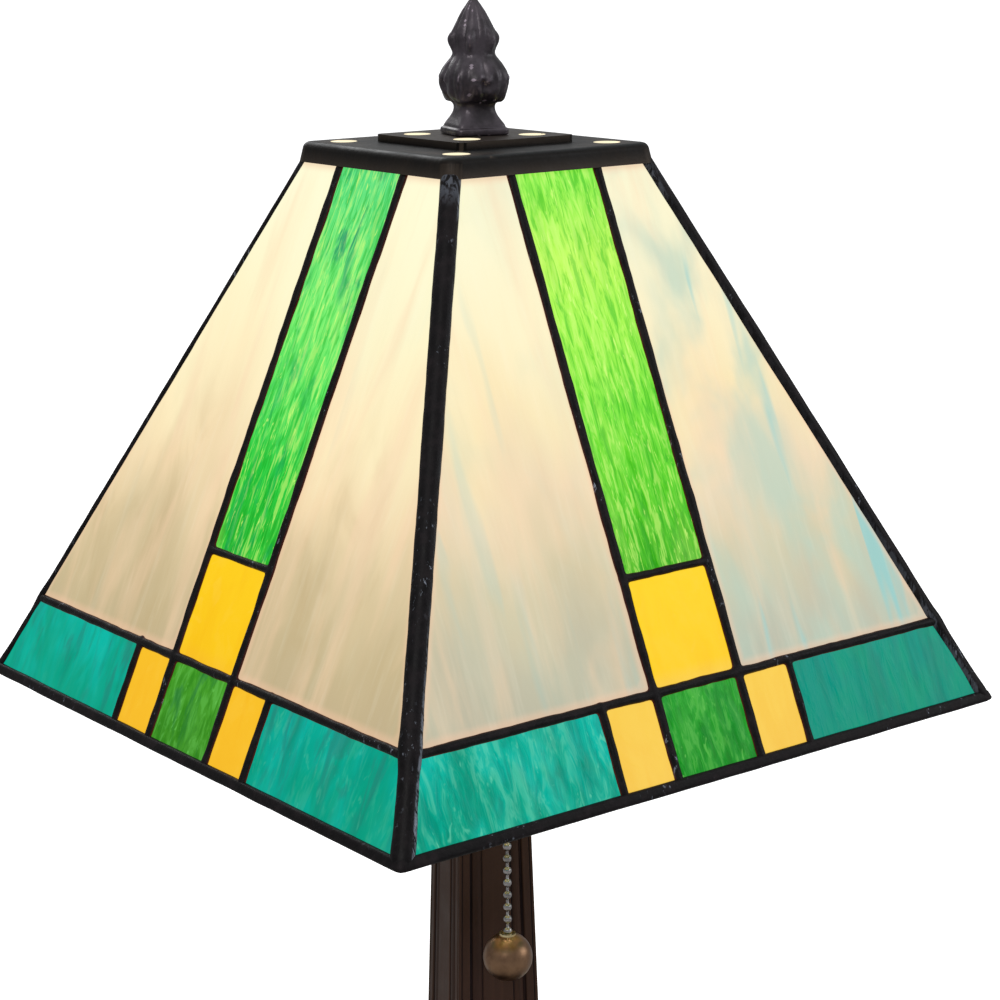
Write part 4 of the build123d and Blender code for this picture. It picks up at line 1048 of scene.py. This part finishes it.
def cap_plate():
    """Pressed sheet cap: near-black satin on top, browner where the skirt turns down."""
    s = Shader("cap_bronze")
    place = s.place()
    mottle = s.noise(place, 70.0, 5.0, 0.65)
    top = s.ramp(mottle, [(0.3, (12, 14, 15)), (0.55, (20, 23, 24)), (0.75, (34, 36, 36))])
    skirt = s.ramp(mottle, [(0.3, (11, 9, 9)), (0.55, (19, 16, 14)), (0.75, (34, 27, 22))])
    facing = s.node("SeparateXYZ", {0: s.node("TexCoord").outputs["Normal"]}).outputs["Z"]
    colour = s.mix(s.spread(facing, 0.6, 0.9), skirt, top)
    edge = s.spread(s.node("NewGeometry").outputs["Pointiness"], 0.52, 0.6)
    colour = s.mix(s.math("MULTIPLY", edge, 0.35), colour, linear((96, 84, 74)))
    # the walls of the vents, and more faintly the underside, glow with painted light from the bulb
    axes = s.node("SeparateXYZ", {0: place}).outputs
    near = None
    for at in vent_centres:
        off_x = s.math("SUBTRACT", s.math("ABSOLUTE", axes["X"]), at)
        off_y = s.math("SUBTRACT", s.math("ABSOLUTE", axes["Y"]), at)
        flat = s.node("CombineXYZ", {0: off_x, 1: off_y, 2: 0.0}).outputs[0]
        distance = s.node("VectorMath", {0: flat}, operation="LENGTH").outputs["Value"]
        near = distance if near is None else s.math("MINIMUM", near, distance)
    wall = s.math("LESS_THAN", near, vent_radius + 0.15 * MM)
    upright = s.math("LESS_THAN", s.math("ABSOLUTE", facing), 0.5)
    underside = s.math("LESS_THAN", facing, -0.5)
    lit = s.math("MAXIMUM", s.math("MULTIPLY", wall, upright), s.math("MULTIPLY", underside, 0.25))
    s.set(
        Base_Color=colour,
        Metallic=0.3,
        Roughness=s.spread(mottle, 0.3, 0.7, 0.36, 0.52),
        Normal=s.bump(s.noise(place, 500.0, 4.0, 0.6), 0.08 * MM),
        Emission_Color=linear((255, 243, 206)),
        Emission_Strength=s.math("MULTIPLY", lit, 1.1),
        Specular_IOR_Level=0.15,
    )
    return s.material


def bulb_glass():
    """Frosted envelope, lit."""
    s = Shader("bulb_glass")
    frost = s.noise(s.place(), 220.0, 3.0)
    s.set(
        Base_Color=s.mix(frost, linear((255, 240, 214)), linear((250, 232, 200))),
        Emission_Color=s.mix(frost, linear((255, 226, 176)), linear((255, 236, 200))),
        Emission_Strength=0.8,
        Roughness=0.45,
    )
    return s.material


materials = {
    "bronze_casting": casting(),
    "cap_bronze": cap_plate(),
    "bulb_glass": bulb_glass(),
    "solder_patina": solder_material,
    "felt": moulded("felt", (30, 29, 27), 0.95),
    "pipe_steel": metal("pipe_steel", (150, 148, 145), (185, 183, 178), (0.28, 0.4), 1.0),
    "weight_iron": metal("weight_iron", (60, 58, 56), (86, 82, 78), (0.6, 0.8), 0.8, 0.2 * MM),
    "socket_brass": metal(
        "socket_brass", (146, 112, 58), (184, 148, 86), (0.26, 0.4), 1.0, 0.02 * MM, 70.0, 0.4
    ),
    "contact_brass": metal("contact_brass", (190, 156, 92), (216, 184, 118), (0.22, 0.34), 1.0, 0.02 * MM),
    "ferrule_brass": metal("ferrule_brass", (206, 184, 132), (238, 222, 176), (0.22, 0.34), 1.0, 0.02 * MM),
    "harp_steel": metal("harp_steel", (92, 72, 44), (128, 100, 62), (0.3, 0.42), 0.9, 0.03 * MM, 90.0, 0.4),
    "chain_bronze": metal(
        "chain_bronze", (140, 136, 136), (180, 176, 176), (0.12, 0.2), 1.0, 0.01 * MM, 300.0
    ),
    "ball_bronze": metal("ball_bronze", (122, 94, 74), (148, 116, 90), (0.32, 0.42), 1.0, 0.02 * MM, 150.0),
    "cord_insulation": moulded("cord_insulation", (52, 38, 28), 0.4),
    "plug_plastic": moulded("plug_plastic", (54, 39, 28), 0.42),
    "socket_phenolic": moulded("socket_phenolic", (34, 30, 28), 0.38),
    "liner_card": moulded("liner_card", (168, 132, 88), 0.85),
    "bulb_stem_glass": moulded("bulb_stem_glass", (214, 220, 222), 0.12),
    "bulb_aluminium": metal("bulb_aluminium", (186, 186, 186), (214, 214, 214), (0.26, 0.36), 1.0),
}

crisp = {
    "base_plinth": 0.5,
    "base_step": 0.45,
    "column_foot": 0.4,
    "column": 0.22,
    "column_collar": 0.3,
    "plug_body": 0.5,
    "socket_body": 0.2,
}

for part in frame["record"]["subparts"]:
    piece = nodes[part["node"]]
    if piece.hide_render:
        continue
    piece.data.materials.clear()
    piece.data.materials.append(materials[part["material_slot"]])
    weld = piece.modifiers.new("weld", "WELD")
    weld.merge_threshold = 0.002 * MM
    if piece.name in crisp:
        flat = piece.modifiers.new("flat", "DECIMATE")
        flat.decimate_type = "DISSOLVE"
        flat.angle_limit = math.radians(1)
        round_off = piece.modifiers.new("arris", "BEVEL")
        round_off.width = crisp[piece.name] * MM
        round_off.segments = 2
        round_off.limit_method = "ANGLE"
        round_off.angle_limit = math.radians(28)
        round_off.harden_normals = False


# ------------------------------------------------------------ floor, light and camera
def floor_piece():
    """Pale floor that shows white to the camera and stays calm in reflections."""
    mesh = bpy.data.meshes.new("floor")
    size = 12.0
    corners = [(-size, -size, 0), (size, -size, 0), (size, size, 0), (-size, size, 0)]
    mesh.from_pydata(corners, [], [(0, 1, 2, 3)])
    s = Shader("floor_paper")
    seen = s.node("LightPath").outputs["Is Camera Ray"]
    s.set(
        Base_Color=s.mix(seen, (0.4, 0.4, 0.4, 1), (0.92, 0.92, 0.92, 1)),
        Roughness=0.9,
        Emission_Color=(1, 1, 1, 1),
        Emission_Strength=s.math("MULTIPLY", seen, 0.62),
    )
    mesh.materials.append(s.material)
    floor = bpy.data.objects.new("floor", mesh)
    scene.collection.objects.link(floor)


floor_piece()


def studio_world():
    """White to the camera; for light and reflections a soft sky, bright above and dim at the horizon."""
    world = bpy.data.worlds.new("studio")
    scene.world = world
    world.use_nodes = True
    tree = world.node_tree
    tree.nodes.clear()
    output = tree.nodes.new("ShaderNodeOutputWorld")
    seen = tree.nodes.new("ShaderNodeBackground")
    seen.inputs["Strength"].default_value = 1.05
    seen.inputs["Color"].default_value = (1, 1, 1, 1)
    fill = tree.nodes.new("ShaderNodeBackground")
    fill.inputs["Color"].default_value = (0.98, 0.99, 1.0, 1)
    direction = tree.nodes.new("ShaderNodeTexCoord")
    split = tree.nodes.new("ShaderNodeSeparateXYZ")
    grade = tree.nodes.new("ShaderNodeMapRange")
    for socket, value in zip(grade.inputs[1:5], (0.0, 0.9, 0.2, 0.85)):
        socket.default_value = value
    path = tree.nodes.new("ShaderNodeLightPath")
    blend = tree.nodes.new("ShaderNodeMixShader")
    tree.links.new(direction.outputs["Generated"], split.inputs[0])
    tree.links.new(split.outputs["Z"], grade.inputs[0])
    tree.links.new(grade.outputs[0], fill.inputs["Strength"])
    tree.links.new(path.outputs["Is Camera Ray"], blend.inputs[0])
    tree.links.new(fill.outputs[0], blend.inputs[1])
    tree.links.new(seen.outputs[0], blend.inputs[2])
    tree.links.new(blend.outputs[0], output.inputs["Surface"])


studio_world()

shade_centre = Vector((0, 0, (cad_box[0].z + cad_box[1].z) * 0.62))


def softbox(name, place, size, power, tint=(1, 1, 1)):
    """Square area light aimed at the shade."""
    data = bpy.data.lights.new(name, "AREA")
    data.size = size
    data.energy = power
    data.color = tint
    light = bpy.data.objects.new(name, data)
    light.location = place
    light.rotation_euler = (shade_centre - Vector(place)).to_track_quat("-Z", "Y").to_euler()
    scene.collection.objects.link(light)


softbox("key_light", (-1.5, -1.2, 1.7), 0.9, 16.0, (1.0, 0.98, 0.95))
softbox("fill_light", (1.6, -1.3, 1.0), 1.1, 9.0, (0.96, 0.98, 1.0))
softbox("back_light", (0.4, 1.8, 1.4), 1.0, 10.0)

bulb_low, bulb_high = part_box("bulb_envelope")
glow_data = bpy.data.lights.new("bulb_light", "POINT")
glow_data.energy = 0.9
glow_data.color = (1.0, 0.86, 0.66)
glow_data.shadow_soft_size = 0.03
glow = bpy.data.objects.new("bulb_light", glow_data)
glow.location = ((bulb_low + bulb_high) / 2 + Vector((0, 0, 0.034)))
scene.collection.objects.link(glow)

scene.view_settings.view_transform = "Standard"
scene.view_settings.look = "None"

view_turn = math.radians(38.0)  # from the front towards the left
view_rise = math.radians(13.30)
view_distance = 0.680
view_roll = math.radians(-0.45)
view_shift = (6.2 * MM, -15.2 * MM)
aim = Vector((0, 0, shade_low + 71.12 * MM))
level = math.cos(view_rise)
back = Vector((-math.sin(view_turn) * level, -math.cos(view_turn) * level, math.sin(view_rise)))
right = (-back).cross(Vector((0, 0, 1))).normalized()
upward = right.cross(-back)
across = right * math.cos(view_roll) + upward * math.sin(view_roll)
upright = upward * math.cos(view_roll) - right * math.sin(view_roll)
stand = aim + back * view_distance + across * view_shift[0] + upright * view_shift[1]
lens = bpy.data.cameras.new("camera")
lens.sensor_width = 36.0
lens.lens = 88.5
lens.clip_start = 0.01
lens.clip_end = 60.0
camera = bpy.data.objects.new("camera", lens)
rows = [[across[i], upright[i], back[i], stand[i]] for i in range(3)] + [[0, 0, 0, 1]]
camera.matrix_world = Matrix(rows)
scene.collection.objects.link(camera)
scene.camera = camera
